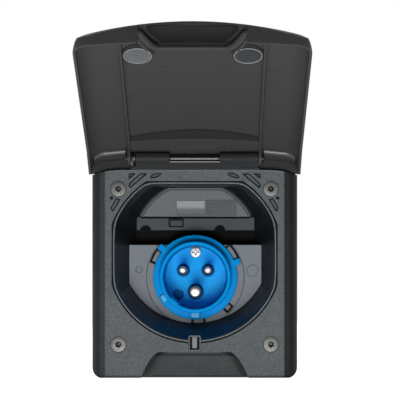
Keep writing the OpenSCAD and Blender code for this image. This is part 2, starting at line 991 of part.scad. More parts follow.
module cover_seal() {
    color(black_rubber)
        at_inlet()
            ring_y(housing_rear_y, cover_front_y, cover_r, cover_r - cover_wall);
}

module cover_screws() {
    color(steel)
        cover_screw_places()
            union() {
                bar_y(back_y - cover_boss_len + 1.5, cover_front_y + cover_ear_t, cover_screw_r);
                bar_y(cover_front_y + cover_ear_t, cover_front_y + cover_ear_t + 2, cover_screw_r + 1.3);
            }
}

// Gland body: threaded stem into the cover, hexagon collar, and a stem for the nut
module gland_body() {
    color(graphite_dark)
        translate([0, gland_y, 0])
            difference() {
                union() {
                    translate([0, 0, gland_seat_z - gland_collar_t - gland_stem])
                        cylinder(h = gland_len, r = gland_thread_r);
                    translate([0, 0, gland_seat_z - gland_collar_t])
                        cylinder(h = gland_collar_t, r = gland_collar_r, $fn = 6);
                }
                translate([0, 0, gland_seat_z - gland_collar_t - gland_stem - 1])
                    cylinder(h = gland_stem + 3, r = gland_thread_r - 1.2);
                translate([0, 0, gland_seat_z - gland_collar_t])
                    cylinder(h = 40, r = gland_bore_r + 0.6);
            }
}

module gland_grommet() {
    color(black_rubber)
        translate([0, gland_y, gland_seat_z - gland_collar_t - gland_stem])
            difference() {
                cylinder(h = gland_stem + 2 - slip, r = gland_thread_r - 1.2 - fit);
                translate([0, 0, -1])
                    cylinder(h = gland_stem + 4, r = gland_bore_r);
            }
}

module gland_nut() {
    nut_r = gland_collar_r - 0.2;
    nut_top = gland_seat_z - gland_collar_t - slip;
    nose = 4;
    nose_taper = 2.2;
    color(graphite_dark)
        translate([0, gland_y, nut_top - gland_nut_t])
            difference() {
                union() {
                    translate([0, 0, nose])
                        cylinder(h = gland_nut_t - nose, r = nut_r, $fn = 6);
                    cylinder(h = nose + 0.5, r1 = nut_r - nose_taper, r2 = nut_r - 1);
                }
                translate([0, 0, gland_nut_t - gland_stem])
                    cylinder(h = gland_stem + 1, r = gland_thread_r + fit);
                translate([0, 0, -1])
                    cylinder(h = gland_nut_t, r = gland_bore_r + 0.6);
            }
}

module magnet_keepers() {
    color(steel)
        mirrored()
            translate([keeper_reach * cos(keeper_turn), 0, mouth_up + keeper_reach * sin(keeper_turn)])
                bar_y(skin_y, skin_y + keeper_t, keeper_r);
}

module hinge_pin() {
    color(steel)
        translate([0, hinge_y, hinge_z])
            bar_x(-ear_out - 1, ear_out + 1, hinge_pin_d / 2);
}

// Retaining clip on the pin between the left knuckle and the lid's ear
module pin_clip() {
    clip_in = knuckle_left + 0.4;
    clip_out = ear_in - slip;
    leg_w = 1.5;
    color(steel)
        translate([0, hinge_y, hinge_z])
            difference() {
                union() {
                    bar_x(-clip_out, -clip_in, clip_r);
                    translate([-clip_out, -clip_r, -clip_r - clip_leg])
                        cube([leg_w, clip_r, clip_r + clip_leg]);
                }
                bar_x(-clip_out - 1, -clip_in + 1, hinge_pin_d / 2 + fit);
            }
}

// Puts the lid's own frame on the hinge pin, turned open
module on_hinge() {
    translate([0, hinge_y, hinge_z])
        rotate([-open_angle, 0, 0])
            children();
}

// Cross-section of the lid in X and Y: a vault between two skirts, with round edges
module lid_section(half, top, vault_r, edge_r, rim) {
    steps = 24;
    corner_steps = 6;
    flat = half - edge_r;
    lean = asin(flat / vault_r);
    function vault(x) = top + vault_r - sqrt(vault_r * vault_r - x * x);
    middle = [for (i = [0:steps]) let (x = flat * (2 * i / steps - 1)) [x, vault(x)]];
    corner = [
        for (i = [1:corner_steps])
            let (a = -90 + lean + (90 - lean) * i / corner_steps)
                [flat + edge_r * cos(a), vault(flat) + edge_r * (1 + sin(a))]
    ];
    other = [for (i = [corner_steps - 1:-1:0]) [-corner[i][0], corner[i][1]]];
    polygon(concat([[-half, rim]], other, middle, corner, [[half, rim]]));
}

// Front outline of the lid: square at the hinge, with round corners and a bowed free end
module lid_outline(half, head, length, r, bow_r) {
    steps = 24;
    corner_steps = 8;
    bow_z = bow_r - length;
    corner_x = half - r;
    lean = acos(corner_x / (bow_r - r));
    corner_z = bow_z - (bow_r - r) * sin(lean);
    bow = [
        for (i = [0:steps])
            let (a = -180 + lean + (180 - 2 * lean) * i / steps)
                [bow_r * cos(a), bow_z + bow_r * sin(a)]
    ];
    right = [
        for (i = [1:corner_steps])
            let (a = lean * (i / corner_steps - 1))
                [corner_x + r * cos(a), corner_z + r * sin(a)]
    ];
    left = [for (i = [corner_steps - 1:-1:0]) [-right[i][0], right[i][1]]];
    polygon(concat([[-half, head]], left, bow, right, [[half, head]]));
}

// Leaning free end of the lid, a cone round the bow's centre, drawn in by d
module lid_end(d) {
    front = plate_out_e - 1;
    translate([0, rim_e + 2, lid_end_r - lid_len])
        rotate([90, 0, 0])
            cylinder(
                h = rim_e + 2 - front,
                r1 = lid_end_r - d + lid_end_lean * 2 / (rim_e - front),
                r2 = lid_end_r - d - lid_end_lean,
                $fn = 720
            );
}

// Bevel round the lid's free end, a wider cone that cuts most at the corners, drawn in by d
module lid_trim(d) {
    front = plate_out_e - 1;
    rise = rim_e + 2 - front;
    r = lid_trim_r - d * sqrt(2);
    translate([0, rim_e + 2, lid_trim_r - lid_len + lid_end_lean])
        rotate([90, 0, 0])
            cylinder(h = rise, r1 = r + rise - 1, r2 = r - 1, $fn = 360);
}

module lid_block() {
    intersection() {
        lid_trim(0);
        along_y(plate_out_e - 1, rim_e)
            lid_outline(lid_half, lid_head, lid_len, lid_corner_r, lid_end_r);
        lid_end(0);
        translate([0, 0, -lid_len])
            linear_extrude(lid_len + lid_head)
                lid_section(lid_half, plate_out_e, lid_vault_r, lid_edge_r, rim_e + 1);
    }
}

module lid_hollow() {
    inner = lid_half - lid_wall;
    head = lid_head - lid_wall;
    length = lid_len - lid_wall;
    intersection() {
        along_y(plate_out_e, rim_e + 1)
            lid_outline(inner, head, length, lid_inner_corner_r, lid_end_r - lid_wall);
        lid_end(lid_wall);
        lid_trim(lid_trim_wall);
        translate([0, 0, -lid_len])
            linear_extrude(lid_len + lid_head)
                lid_section(inner, plate_in_e, lid_vault_r - lid_plate, lid_edge_r - lid_wall, rim_e + 2);
    }
}

// Finger pocket, drawn out by grow: widening towards the lid's end, behind a leaning wall
module pocket(grow, edge) {
    deep = -pocket_v + grow;
    end = -lid_len - 1;
    intersection() {
        along_y(plate_in_e - grow / 2, edge)
            bell(pocket_half_top + grow, pocket_half_end + grow, deep, end);
        along_x(-lid_half, lid_half)
            polygon([
                [plate_in_e - grow, deep],
                [edge, deep - pocket_lean],
                [edge, end],
                [plate_in_e - grow, end]
            ]);
    }
}

// Reach of the lid's end wall at x that just clears the frame's top edge when the lid stands open
function tip_e(x) =
    (hinge_z + lid_head * cos(lid_stop) - frame_top(x) - slip) / sin(lid_stop);

// End walls beside the hinge, with an edge that follows the frame's top edge when the lid is open
module hinge_end_walls() {
    steps = 8;
    edge = [
        for (i = [0:steps])
            let (x = ear_in + (frame_half - ear_in) * i / steps)
                [x, tip_e(x)]
    ];
    mirrored()
        translate([0, 0, lid_head - lid_wall])
            linear_extrude(lid_wall)
                polygon(concat(
                    [[ear_in, plate_in_e]],
                    edge,
                    [[lid_half, head_tip_out], [lid_half, plate_in_e + lid_edge_r]]
                ));
}

// Side skirts run out to the deeper tips beside the hinge
module skirt_tips() {
    run = 14;
    mirrored()
        along_x(lid_half - lid_wall, lid_half)
            polygon([
                [rim_e - 1, lid_head],
                [head_tip_out, lid_head],
                [head_tip_out, lid_head - lid_wall],
                [rim_e, -run],
                [rim_e - 1, -run]
            ]);
}

module lid_ears() {
    ear_foot = plate_in_e + 0.5;
    mirrored()
        difference() {
            union() {
                bar_x(ear_in, ear_out, ear_r);
                translate([ear_in, ear_foot, -ear_r])
                    cube([ear_t, -ear_foot, 2 * ear_r]);
            }
            bar_x(ear_in - 1, ear_out + 1, hinge_pin_d / 2 + pin_play);
        }
}

// Thick land along the hinge, with a bowed and sloped end towards the middle of the lid
module hinge_land() {
    thick = land_e - plate_in_e + 0.5;
    intersection() {
        translate([-ear_in - 0.5, plate_in_e - 0.5, -land_len - land_slope])
            cube([2 * ear_in + 1, thick, land_len + land_slope + lid_head]);
        translate([0, land_e, land_end_r - land_len])
            rotate([90, 0, 0])
                cylinder(h = thick, r1 = land_end_r, r2 = land_end_r + land_slope, $fn = 360);
    }
}

module magnet_cup(x) {
    translate([x, 0, -magnet_v])
        bar_y(plate_in_e - 0.5, seat_e + magnet_cup_h, magnet_seat_r + magnet_cup_wall);
}

module magnet_seat(x) {
    translate([x, 0, -magnet_v])
        bar_y(seat_e, seat_e + magnet_t + 3, magnet_seat_r);
}

module lid_shell() {
    rib_top = plate_in_e + 1.6 + rib_h;
    color(lid_grey)
        on_hinge()
            difference() {
                union() {
                    difference() {
                        lid_block();
                        lid_hollow();
                        translate([-ear_out, land_e, 0])
                            cube([2 * ear_out, 30, lid_head + 1]);
                    }
                    hinge_end_walls();
                    skirt_tips();
                    hinge_land();
                    intersection() {
                        mirrored()
                            translate([ear_in, plate_in_e - 0.2, -lid_len])
                                cube([rib_t, rib_top - plate_in_e + 0.2, lid_len]);
                        lid_block();
                    }
                    lid_ears();
                    for (x = [-magnet_x, magnet_x])
                        magnet_cup(x);
                    intersection() {
                        pocket(pocket_wall, pocket_edge_e);
                        lid_block();
                    }
                }
                for (x = [-magnet_x, magnet_x])
                    magnet_seat(x);
                pocket(0, rim_e + 2);
                mirrored()
                    bar_x(ear_in - 1, ear_out + 1, hinge_pin_d / 2 + pin_play);
            }
}

module lid_magnet(x) {
    color(steel)
        on_hinge()
            translate([x, 0, -magnet_v])
                bar_y(seat_e, seat_e + magnet_t, magnet_d / 2);
}

module lid_magnet_left() {
    lid_magnet(-magnet_x);
}

module lid_magnet_right() {
    lid_magnet(magnet_x);
}

front_frame();
wall_gasket();
mounting_screws();
recess_housing();
aperture_seal();
inlet_pedestal();
shelf_seal();
label_panel();
blank_label();
inlet_shroud();
inlet_seal();
locking_ring();
contact_block();
line_pin();
neutral_pin();
earth_pin();
block_screw();
terminal_screws();
rear_cover();
cover_seal();
cover_screws();
gland_body();
gland_grommet();
gland_nut();
magnet_keepers();
hinge_pin();
pin_clip();
lid_shell();
lid_magnet_left();
lid_magnet_right();
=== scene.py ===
"""Looks of a flush caravan power inlet: moulded frame, hinged lid, tapered recess and blue three-pin inlet."""

import json
import math

import bmesh
import bpy
import numpy as np
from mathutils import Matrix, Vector


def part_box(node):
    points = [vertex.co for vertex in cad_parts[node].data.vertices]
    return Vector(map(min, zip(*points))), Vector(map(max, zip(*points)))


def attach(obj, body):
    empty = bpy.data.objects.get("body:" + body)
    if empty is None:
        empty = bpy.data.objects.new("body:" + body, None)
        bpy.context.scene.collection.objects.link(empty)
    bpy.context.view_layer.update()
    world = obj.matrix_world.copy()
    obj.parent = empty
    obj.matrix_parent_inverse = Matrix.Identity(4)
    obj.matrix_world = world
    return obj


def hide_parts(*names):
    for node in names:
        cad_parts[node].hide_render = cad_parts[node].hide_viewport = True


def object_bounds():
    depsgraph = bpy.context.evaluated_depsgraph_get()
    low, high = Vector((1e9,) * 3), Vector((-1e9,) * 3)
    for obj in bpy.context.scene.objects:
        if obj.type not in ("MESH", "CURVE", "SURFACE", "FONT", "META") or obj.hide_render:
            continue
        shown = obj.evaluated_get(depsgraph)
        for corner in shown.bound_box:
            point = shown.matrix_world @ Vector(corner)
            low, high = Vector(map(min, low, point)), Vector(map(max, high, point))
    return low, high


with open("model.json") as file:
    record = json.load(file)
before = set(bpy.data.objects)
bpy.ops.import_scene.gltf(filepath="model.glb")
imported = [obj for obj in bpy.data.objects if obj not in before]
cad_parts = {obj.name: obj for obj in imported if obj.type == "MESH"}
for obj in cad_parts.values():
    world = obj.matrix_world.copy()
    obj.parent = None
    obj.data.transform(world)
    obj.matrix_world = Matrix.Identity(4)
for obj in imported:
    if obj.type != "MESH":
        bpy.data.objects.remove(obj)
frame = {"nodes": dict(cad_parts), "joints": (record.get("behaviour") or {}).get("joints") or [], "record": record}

CAD_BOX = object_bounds()
MM = 0.001
TAU = 2 * math.pi

bl_info = {
    "name": "Caravan power inlet",
    "version": (1, 0, 0),
    "blender": (4, 5, 0),
    "location": "View3D > Sidebar > Power inlet",
    "description": "Dresses the packed model of a flush power inlet with fine pieces and moulded finishes",
    "category": "Object",
}


def linear(code):
    """Turns an sRGB hex colour into linear red, green and blue."""
    srgb = np.array([int(code[i:i + 2], 16) for i in (1, 3, 5)]) / 255
    return tuple(np.where(srgb <= 0.04045, srgb / 12.92, ((srgb + 0.055) / 1.055) ** 2.4))


def middle(node):
    """Middle of a CAD node's box at rest."""
    return np.array(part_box(node)).mean(axis=0)


FACE_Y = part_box("mounting_screws")[0].y
INLET_Z = middle("cover_seal")[2]
RIM_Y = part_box("inlet_shroud")[0].y
CONTACT_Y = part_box("contact_block")[0].y
BACK_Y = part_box("label_panel")[1].y
PIN_Y, PIN_Z = middle("hinge_pin")[1:]
CONTACT_PINS = ("line_pin", "neutral_pin", "earth_pin")
# Depth of the flat land at the lid's hinge end, from the hinge pin of the closed lid
LAND_Y = -3.8 * MM
# Power of a rounded block whose edges look sharp
SHARP = 20
# The bell of the finger scoop, and of the lid's pocket that lies in it, falls with this power of the way outwards
BELL = 1.7
# Most values of a noise texture lie between these two
NOISE_LOW, NOISE_HIGH = 0.3, 0.7
# Finish of each of the record's slots, which the first operator makes
FINISHES = {}


class InletSizes(bpy.types.PropertyGroup):
    """Sizes of the fine pieces that finish the inlet."""

    edge_round: bpy.props.FloatProperty(
        name="Edge round", description="Radius that softens the moulded edges",
        default=0.35 * MM, unit="LENGTH", precision=5)
    lip_width: bpy.props.FloatProperty(
        name="Lip width", description="Width of the rounded lip round the recess",
        default=1.0 * MM, unit="LENGTH", precision=5)
    lip_proud: bpy.props.FloatProperty(
        name="Lip height", description="Height of the lip above the frame's face",
        default=0.1 * MM, unit="LENGTH", precision=5)
    shroud_wall: bpy.props.FloatProperty(
        name="Shroud wall", description="Wall of the round shroud",
        default=2.3 * MM, unit="LENGTH", precision=5)
    flange_thick: bpy.props.FloatProperty(
        name="Flange", description="Thickness of the shroud's base flange",
        default=2.5 * MM, unit="LENGTH", precision=5)
    live_pin: bpy.props.FloatProperty(
        name="Live pins", description="Radius of the line and neutral pins",
        default=2.5 * MM, unit="LENGTH", precision=5)
    earth_pin: bpy.props.FloatProperty(
        name="Earth pin", description="Radius of the earth pin",
        default=3.5 * MM, unit="LENGTH", precision=5)
    screw_head: bpy.props.FloatProperty(
        name="Screw head", description="Radius of the wall screws' countersunk heads",
        default=4.6 * MM, unit="LENGTH", precision=5)
    screw_shank: bpy.props.FloatProperty(
        name="Screw thread", description="Outer radius of the wall screws' thread",
        default=2.5 * MM, unit="LENGTH", precision=5)
    socket_flat: bpy.props.FloatProperty(
        name="Socket", description="Distance from the middle of a screw's hexagon socket to its flats",
        default=1.6 * MM, unit="LENGTH", precision=5)
    screw_pitch: bpy.props.FloatProperty(
        name="Screw pitch", description="Pitch of the wall screws' thread",
        default=1.8 * MM, unit="LENGTH", precision=5)
    dot_pitch: bpy.props.FloatProperty(
        name="Dot pitch", description="Distance between the raised dots on the panel",
        default=1.4 * MM, unit="LENGTH", precision=5)
    lid_roll: bpy.props.FloatProperty(
        name="Lid roll", description="Radius of the rolls inside the lid's hinge end",
        default=2.7 * MM, unit="LENGTH", precision=5)


class InletColours(bpy.types.PropertyGroup):
    """Colours of the inlet's mouldings."""

    frame: bpy.props.FloatVectorProperty(
        name="Frame", description="Grained plastic of the front frame",
        default=linear("#5d6265"), subtype="COLOR")
    lid: bpy.props.FloatVectorProperty(
        name="Lid", description="Satin plastic of the lid",
        default=linear("#414141"), subtype="COLOR")
    housing: bpy.props.FloatVectorProperty(
        name="Housing", description="Satin plastic of the recess",
        default=linear("#191f24"), subtype="COLOR")
    pedestal: bpy.props.FloatVectorProperty(
        name="Pedestal", description="Grey plastic of the pedestal",
        default=linear("#82898f"), subtype="COLOR")
    label: bpy.props.FloatVectorProperty(
        name="Label", description="Bare film label",
        default=linear("#a6abaf"), subtype="COLOR")
    panel: bpy.props.FloatVectorProperty(
        name="Panel", description="Grey plastic of the panel on the back wall",
        default=linear("#696f74"), subtype="COLOR")
    inlet: bpy.props.FloatVectorProperty(
        name="Inlet", description="Blue plastic of the shroud",
        default=linear("#009df0"), subtype="COLOR")
    contacts: bpy.props.FloatVectorProperty(
        name="Contact block", description="Blue plastic of the contact block",
        default=linear("#00b1f6"), subtype="COLOR")


class InletStage(bpy.types.PropertyGroup):
    """Camera and light of the picture."""

    camera_place: bpy.props.FloatVectorProperty(
        name="Camera", description="Place of the camera, in front of the inlet",
        default=(0.010, -1.007, -0.005), subtype="XYZ", unit="LENGTH", precision=4)
    focal_px: bpy.props.FloatProperty(
        name="Focal length", description="Focal length in pixels of a 400 pixel picture",
        default=1666.0)
    axis_px: bpy.props.FloatVectorProperty(
        name="Axis", description="Pixel that the camera's axis falls on, from the upper left",
        size=2, default=(211.4, 275.0))
    key_power: bpy.props.FloatProperty(
        name="Key light", description="Power of the soft light below the camera",
        default=8.6, unit="POWER")
    table_power: bpy.props.FloatProperty(
        name="Table light", description="Power of the light that rises from the white table in front",
        default=0.35, unit="POWER")
    back_power: bpy.props.FloatProperty(
        name="Back light", description="Power of the soft light behind the inlet",
        default=2.6, unit="POWER")
    sky: bpy.props.FloatProperty(
        name="Sky", description="Strength of the even light from all round", default=0.08)


def sizes():
    """Sizes that the scene holds."""
    return bpy.context.scene.inlet_sizes


def colours():
    """Colours that the scene holds."""
    return bpy.context.scene.inlet_colours


def add(tree, kind, inputs=(), **settings):
    """Adds a node: settings are its properties, and inputs give each socket a value or another node's output."""
    made = tree.nodes.new(kind)
    for key, value in settings.items():
        setattr(made, key, value)
    for key, value in dict(inputs).items():
        if isinstance(value, bpy.types.NodeSocket):
            tree.links.new(value, made.inputs[key])
        else:
            made.inputs[key].default_value = value
    return made


def fresh_tree(owner):
    """Empty node tree of a material or a world."""
    owner.use_nodes = True
    owner.node_tree.nodes.clear()
    return owner.node_tree


def moulding(name, colour, roughness, grain, depth, mottle, specular=0.5, crevice=0.5, fades=()):
    """Moulded plastic: fine noise lifts the surface, slow noise varies the polish, and painted shade darkens crevices
    and fades.

    The grain's size and depth are in mm. Real mould grain is a few tenths of a millimetre, which is too fine to show
    in the picture, so it is drawn coarser. Mottle and crevice are the shares of the colour that the noise and the
    painted shade in crevices change. Each fade is painted shade: it gives an axis or one of the mesh's own lengths,
    the places in mm where it starts and ends, and the share of the colour that is left.
    """
    flow_size, polish_change = 14 * MM, 0.05
    crevice_reach, shut, clear = 1.0 * MM, 0.35, 0.95
    material = bpy.data.materials.new(name)
    tree = fresh_tree(material)
    place = add(tree, "ShaderNodeTexCoord").outputs["Object"]
    axes = add(tree, "ShaderNodeSeparateXYZ", {"Vector": place}).outputs
    speckle = add(tree, "ShaderNodeTexNoise", {"Vector": place, "Scale": 1 / (grain * MM), "Detail": 2.0})
    flow = add(tree, "ShaderNodeTexNoise", {"Vector": place, "Scale": 1 / flow_size, "Detail": 3.0})
    edge = add(tree, "ShaderNodeBevel", {"Radius": sizes().edge_round}, samples=4)
    corner = add(tree, "ShaderNodeAmbientOcclusion", {"Distance": crevice_reach}, samples=8)
    # What is read, the readings where a change of the colour starts and ends, and the shares of the colour there
    changes = [
        (speckle.outputs["Fac"], NOISE_LOW, NOISE_HIGH, 1 - mottle, 1 + mottle),
        # Painted shade where ambient occlusion finds a crevice
        (corner.outputs["AO"], shut, clear, 1 - crevice, 1.0),
    ]
    for source, start, end, left in fades:
        if source in "XYZ":
            reading = axes[source]
        else:
            reading = add(tree, "ShaderNodeAttribute", attribute_name=source).outputs["Fac"]
        changes.append((reading, start * MM, end * MM, 1.0, left))
    tone = (*colour, 1)
    for reading, start, end, first, last in changes:
        share = add(tree, "ShaderNodeMapRange", {
            "Value": reading, "From Min": start, "From Max": end, "To Min": first, "To Max": last})
        tone = add(tree, "ShaderNodeMix", {"Factor": 1.0, "A": tone, "B": share.outputs["Result"]},
                   data_type="RGBA", blend_type="MULTIPLY").outputs["Result"]
    polish = add(tree, "ShaderNodeMapRange", {
        "Value": flow.outputs["Fac"], "From Min": NOISE_LOW, "From Max": NOISE_HIGH,
        "To Min": roughness - polish_change, "To Max": roughness + polish_change})
    bump = add(tree, "ShaderNodeBump", {
        "Strength": 1.0, "Distance": depth * MM, "Height": speckle.outputs["Fac"], "Normal": edge.outputs["Normal"]})
    shader = add(tree, "ShaderNodeBsdfPrincipled", {
        "Base Color": tone, "Roughness": polish.outputs["Result"],
        "Specular IOR Level": specular, "Normal": bump.outputs["Normal"]})
    add(tree, "ShaderNodeOutputMaterial", {"Surface": shader.outputs["BSDF"]})
    return material


def metal(name, colour, roughness, line, depth):
    """Worked metal: noise drawn out along Z leaves fine tool lines, and painted shade darkens sockets and grooves.

    The lines' width and depth are in mm. Real tool lines are too fine to show in the picture, so they are drawn
    coarser.
    """
    drawn_out, edge_round, polish_change = 5, 0.2 * MM, 0.3
    socket_reach, shut, clear, socket_share = 2.0 * MM, 0.45, 0.9, 0.04
    material = bpy.data.materials.new(name)
    tree = fresh_tree(material)
    place = add(tree, "ShaderNodeTexCoord").outputs["Object"]
    drawn = add(tree, "ShaderNodeMapping", {"Vector": place, "Scale": (1.0, 1.0, 1 / drawn_out)})
    lines = add(tree, "ShaderNodeTexNoise", {
        "Vector": drawn.outputs["Vector"], "Scale": 1 / (line * MM), "Detail": 3.0})
    polish = add(tree, "ShaderNodeMapRange", {
        "Value": lines.outputs["Fac"], "From Min": NOISE_LOW, "From Max": NOISE_HIGH,
        "To Min": roughness * (1 - polish_change), "To Max": roughness * (1 + polish_change)})
    edge = add(tree, "ShaderNodeBevel", {"Radius": edge_round}, samples=4)
    bump = add(tree, "ShaderNodeBump", {
        "Strength": 1.0, "Distance": depth * MM, "Height": lines.outputs["Fac"], "Normal": edge.outputs["Normal"]})
    # Painted shade in sockets and grooves, where ambient occlusion finds them
    corner = add(tree, "ShaderNodeAmbientOcclusion", {"Distance": socket_reach}, samples=8)
    share = add(tree, "ShaderNodeMapRange", {
        "Value": corner.outputs["AO"], "From Min": shut, "From Max": clear, "To Min": socket_share, "To Max": 1.0})
    tone = add(tree, "ShaderNodeMix", {"Factor": 1.0, "A": (*colour, 1), "B": share.outputs["Result"]},
               data_type="RGBA", blend_type="MULTIPLY")
    shader = add(tree, "ShaderNodeBsdfPrincipled", {
        "Base Color": tone.outputs["Result"], "Metallic": 1.0, "Roughness": polish.outputs["Result"],
        "Normal": bump.outputs["Normal"]})
    add(tree, "ShaderNodeOutputMaterial", {"Surface": shader.outputs["BSDF"]})
    return material


def make_materials():
    """One finish for each of the record's slots, named for the slot's real material."""
    tint = colours()
    flank = 8.6
    face, foot = FACE_Y / MM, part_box("front_frame")[0].z / MM
    top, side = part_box("wall_gasket")[1].z / MM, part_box("front_frame")[1].x / MM - flank
    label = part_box("blank_label")[1].z / MM
    # Painted shade: the frame is darker behind its face, over its top, along its foot and on its two curved flanks, the
    # right flank more than the left
    frame_fades = (
        ("Y", face + 1.5, face + 2.4, 0.42), ("Z", top + 0.5, top + 1.0, 0.2), ("Z", foot + 1.7, foot + 1.1, 0.35),
        ("X", -side, -side - 0.8, 0.4), ("X", side, side + 0.8, 0.19))
    # The label gets less light towards its foot, in two steps
    label_fades = (("Z", label - 3.6, label - 5.4, 0.5), ("Z", label - 5.4, label - 9.5, 0.7))
    return {
        # Spark-eroded ASA shows a fine speckle on the face, and painted shade darkens it behind the face
        "frame_plastic": moulding("ASA_spark_grain", tint.frame, roughness=0.55, grain=0.9, depth=0.04, mottle=0.22,
                                  specular=0.12, crevice=0.75, fades=frame_fades),
        # Satin ASA of the lid has broad soft highlights and hardly any grain
        "lid_plastic": moulding("ASA_satin", tint.lid, roughness=0.5, grain=0.9, depth=0.01, mottle=0.04,
                                specular=0.12, crevice=0.6),
        # Satin polyamide of the recess stays dark, with a faint sheen on its curved walls
        "housing_plastic": moulding("polyamide_satin", tint.housing, roughness=0.42, grain=1.1, depth=0.012,
                                    mottle=0.05, specular=0.12),
        # Matt grey polyamide of the pedestal is even, with a faint mottle
        "pedestal_plastic": moulding("polyamide_grey", tint.pedestal, roughness=0.5, grain=1.2, depth=0.015,
                                     mottle=0.05, specular=0.2, crevice=0.7),
        # Polyester label film is smooth and slightly glossier than the panel under it
        "label_film": moulding("polyester_film", tint.label, roughness=0.4, grain=2.0, depth=0.004, mottle=0.03,
                               specular=0.08, crevice=0.2, fades=label_fades),
        # Smooth polyamide of the inlet has a soft sheen on its rounded edges
        "inlet_plastic": moulding("polyamide_smooth_blue", tint.inlet, roughness=0.4, grain=1.6, depth=0.002,
                                  mottle=0.02, specular=0.03),
        # Nitrile rubber is nearly black and dull
        "rubber": moulding("nitrile_rubber", linear("#0b0b0c"), roughness=0.75, grain=0.6, depth=0.02, mottle=0.06,
                           specular=0.1),
        # Passivated steel of the screws is dull, with fine lines that spread the highlight
        "screw_steel": metal("steel_passivated", linear("#5c5c5a"), roughness=0.5, line=0.5, depth=0.004),
        # Nickel plate on the pins is bright and almost clean
        "nickel": metal("nickel_plate", linear("#e9e6e0"), roughness=0.42, line=0.8, depth=0.001),
        # Nickel on the sintered magnets is dull, because the grit below shows through
        "magnet_nickel": metal("nickel_on_magnet", linear("#4b4f52"), roughness=0.5, line=0.7, depth=0.006),
        # Turned brass of the terminal screws is warm and bright
        "brass": metal("brass_turned", linear("#c8a552"), roughness=0.3, line=0.5, depth=0.003),
    }


def soft_shading():
    """Geometry nodes that merge loose triangles and smooth the shade across edges flatter than 28 degrees."""
    weld, crisp_from = 0.002 * MM, math.radians(28)
    tree = bpy.data.node_groups.new("soft_shading", "GeometryNodeTree")
    tree.interface.new_socket("Geometry", in_out="INPUT", socket_type="NodeSocketGeometry")
    tree.interface.new_socket("Geometry", in_out="OUTPUT", socket_type="NodeSocketGeometry")
    source = add(tree, "NodeGroupInput")
    merged = add(tree, "GeometryNodeMergeByDistance", {"Geometry": source.outputs[0], "Distance": weld})
    angle = add(tree, "GeometryNodeInputMeshEdgeAngle")
    crisp = add(tree, "FunctionNodeCompare", {0: angle.outputs["Unsigned Angle"], 1: crisp_from},
                data_type="FLOAT", operation="GREATER_THAN")
    shaded = add(tree, "GeometryNodeSetMeshNormal", {
        "Mesh": merged.outputs["Geometry"], "Remove Custom": True, "Edge Sharpness": crisp.outputs["Result"],
        "Face Sharpness": False}, mode="SHARPNESS")
    add(tree, "NodeGroupOutput", {0: shaded.outputs["Mesh"]})
    return tree


def ring_faces(rows, columns, wrap_rows):
    """Quads of a grid whose columns run round a ring, and whose rows may close too."""
    row = np.arange(rows if wrap_rows else rows - 1)[:, None]
    column = np.arange(columns)[None, :]
    below, beside = (row + 1) % rows, (column + 1) % columns
    corners = (row * columns + column, row * columns + beside, below * columns + beside, below * columns + column)
    return np.stack(np.broadcast_arrays(*corners), axis=-1).reshape(-1, 4)


def make_piece(name, grids, slot, body, material=None, replaced=(), crisp=35):
    """Joins ring grids into one mesh, closes their poles by merging, and hands the piece to its body.

    Each grid comes with whether its rows close too. The finish is the slot's own where no material is given, and
    edges are crisp from an angle in degrees.
    """
    weld = 0.0005 * MM
    points, faces, start = [], [], 0
    for grid, wrap_rows in grids:
        rows, columns = grid.shape[:2]
        points.append(grid.reshape(-1, 3))
        faces.append(ring_faces(rows, columns, wrap_rows) + start)
        start += rows * columns
    mesh = bpy.data.meshes.new(name)
    mesh.from_pydata(np.concatenate(points).tolist(), [], np.concatenate(faces).tolist())
    work = bmesh.new()
    work.from_mesh(mesh)
    bmesh.ops.remove_doubles(work, verts=work.verts, dist=weld)
    bmesh.ops.recalc_face_normals(work, faces=work.faces)
    work.to_mesh(mesh)
    work.free()
    mesh.shade_smooth()
    mesh.set_sharp_from_angle(angle=math.radians(crisp))
    mesh.materials.append(material or FINISHES[slot])
    piece = bpy.data.objects.new(name, mesh)
    bpy.context.scene.collection.objects.link(piece)
    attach(piece, body)
    if replaced:
        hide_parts(*replaced)
    return piece


def rounded_profile(corners, radius, steps=6):
    """Closed profile whose corners become quadratic curves, each starting radius away from its corner.

    A curve takes up less than half of a side, so that the curves of neighbouring corners stay apart.
    """
    longest = 0.49
    corners = np.asarray(corners, float)
    before, after = np.roll(corners, 1, axis=0), np.roll(corners, -1, axis=0)
    radius = np.broadcast_to(np.asarray(radius, float), len(corners))

    def towards(other):
        way = other - corners
        length = np.linalg.norm(way, axis=1, keepdims=True)
        return corners + way / length * np.minimum(radius[:, None], length * longest)

    t = np.linspace(0, 1, steps)[None, :, None]
    first, last = towards(before)[:, None], towards(after)[:, None]
    return ((1 - t) ** 2 * first + 2 * t * (1 - t) * corners[:, None] + t ** 2 * last).reshape(-1, 2)


def turned(along, radius, centre, axis="Y", columns=96, twist=0.0):
    """Rings about Y or Z: each row has a place along the axis and a radius, which may vary round the ring."""
    angle = np.linspace(0, TAU, columns, endpoint=False)[None, :] + twist
    along = np.asarray(along, float).reshape(len(along), -1)
    radius = np.asarray(radius, float).reshape(len(along), -1)
    across, up = radius * np.cos(angle), radius * np.sin(angle)
    along = along + np.zeros_like(across)
    order = {"Y": (across, along, up), "Z": (across, up, along)}[axis]
    return np.stack(order, axis=-1) + np.asarray(centre, float)


def polygon_radius(flats, apothem, columns, turn=0.0):
    """Radius round a regular polygon: the apothem over the cosine of the angle from the nearest flat's middle."""
    angle = np.linspace(0, TAU, columns, endpoint=False) + turn
    sector = TAU / flats
    return apothem / np.cos((angle + sector / 2) % sector - sector / 2)


def thread_radius(along, root, depth, pitch, columns):
    """Radius of a thread: a wave with narrow ridges that advances one pitch in each turn round the axis."""
    narrow = 1.5
    turns = np.linspace(0, 1, columns, endpoint=False)[None, :]
    wave = 0.5 + 0.5 * np.cos(TAU * (along[:, None] / pitch - turns))
    return root + depth * wave ** narrow


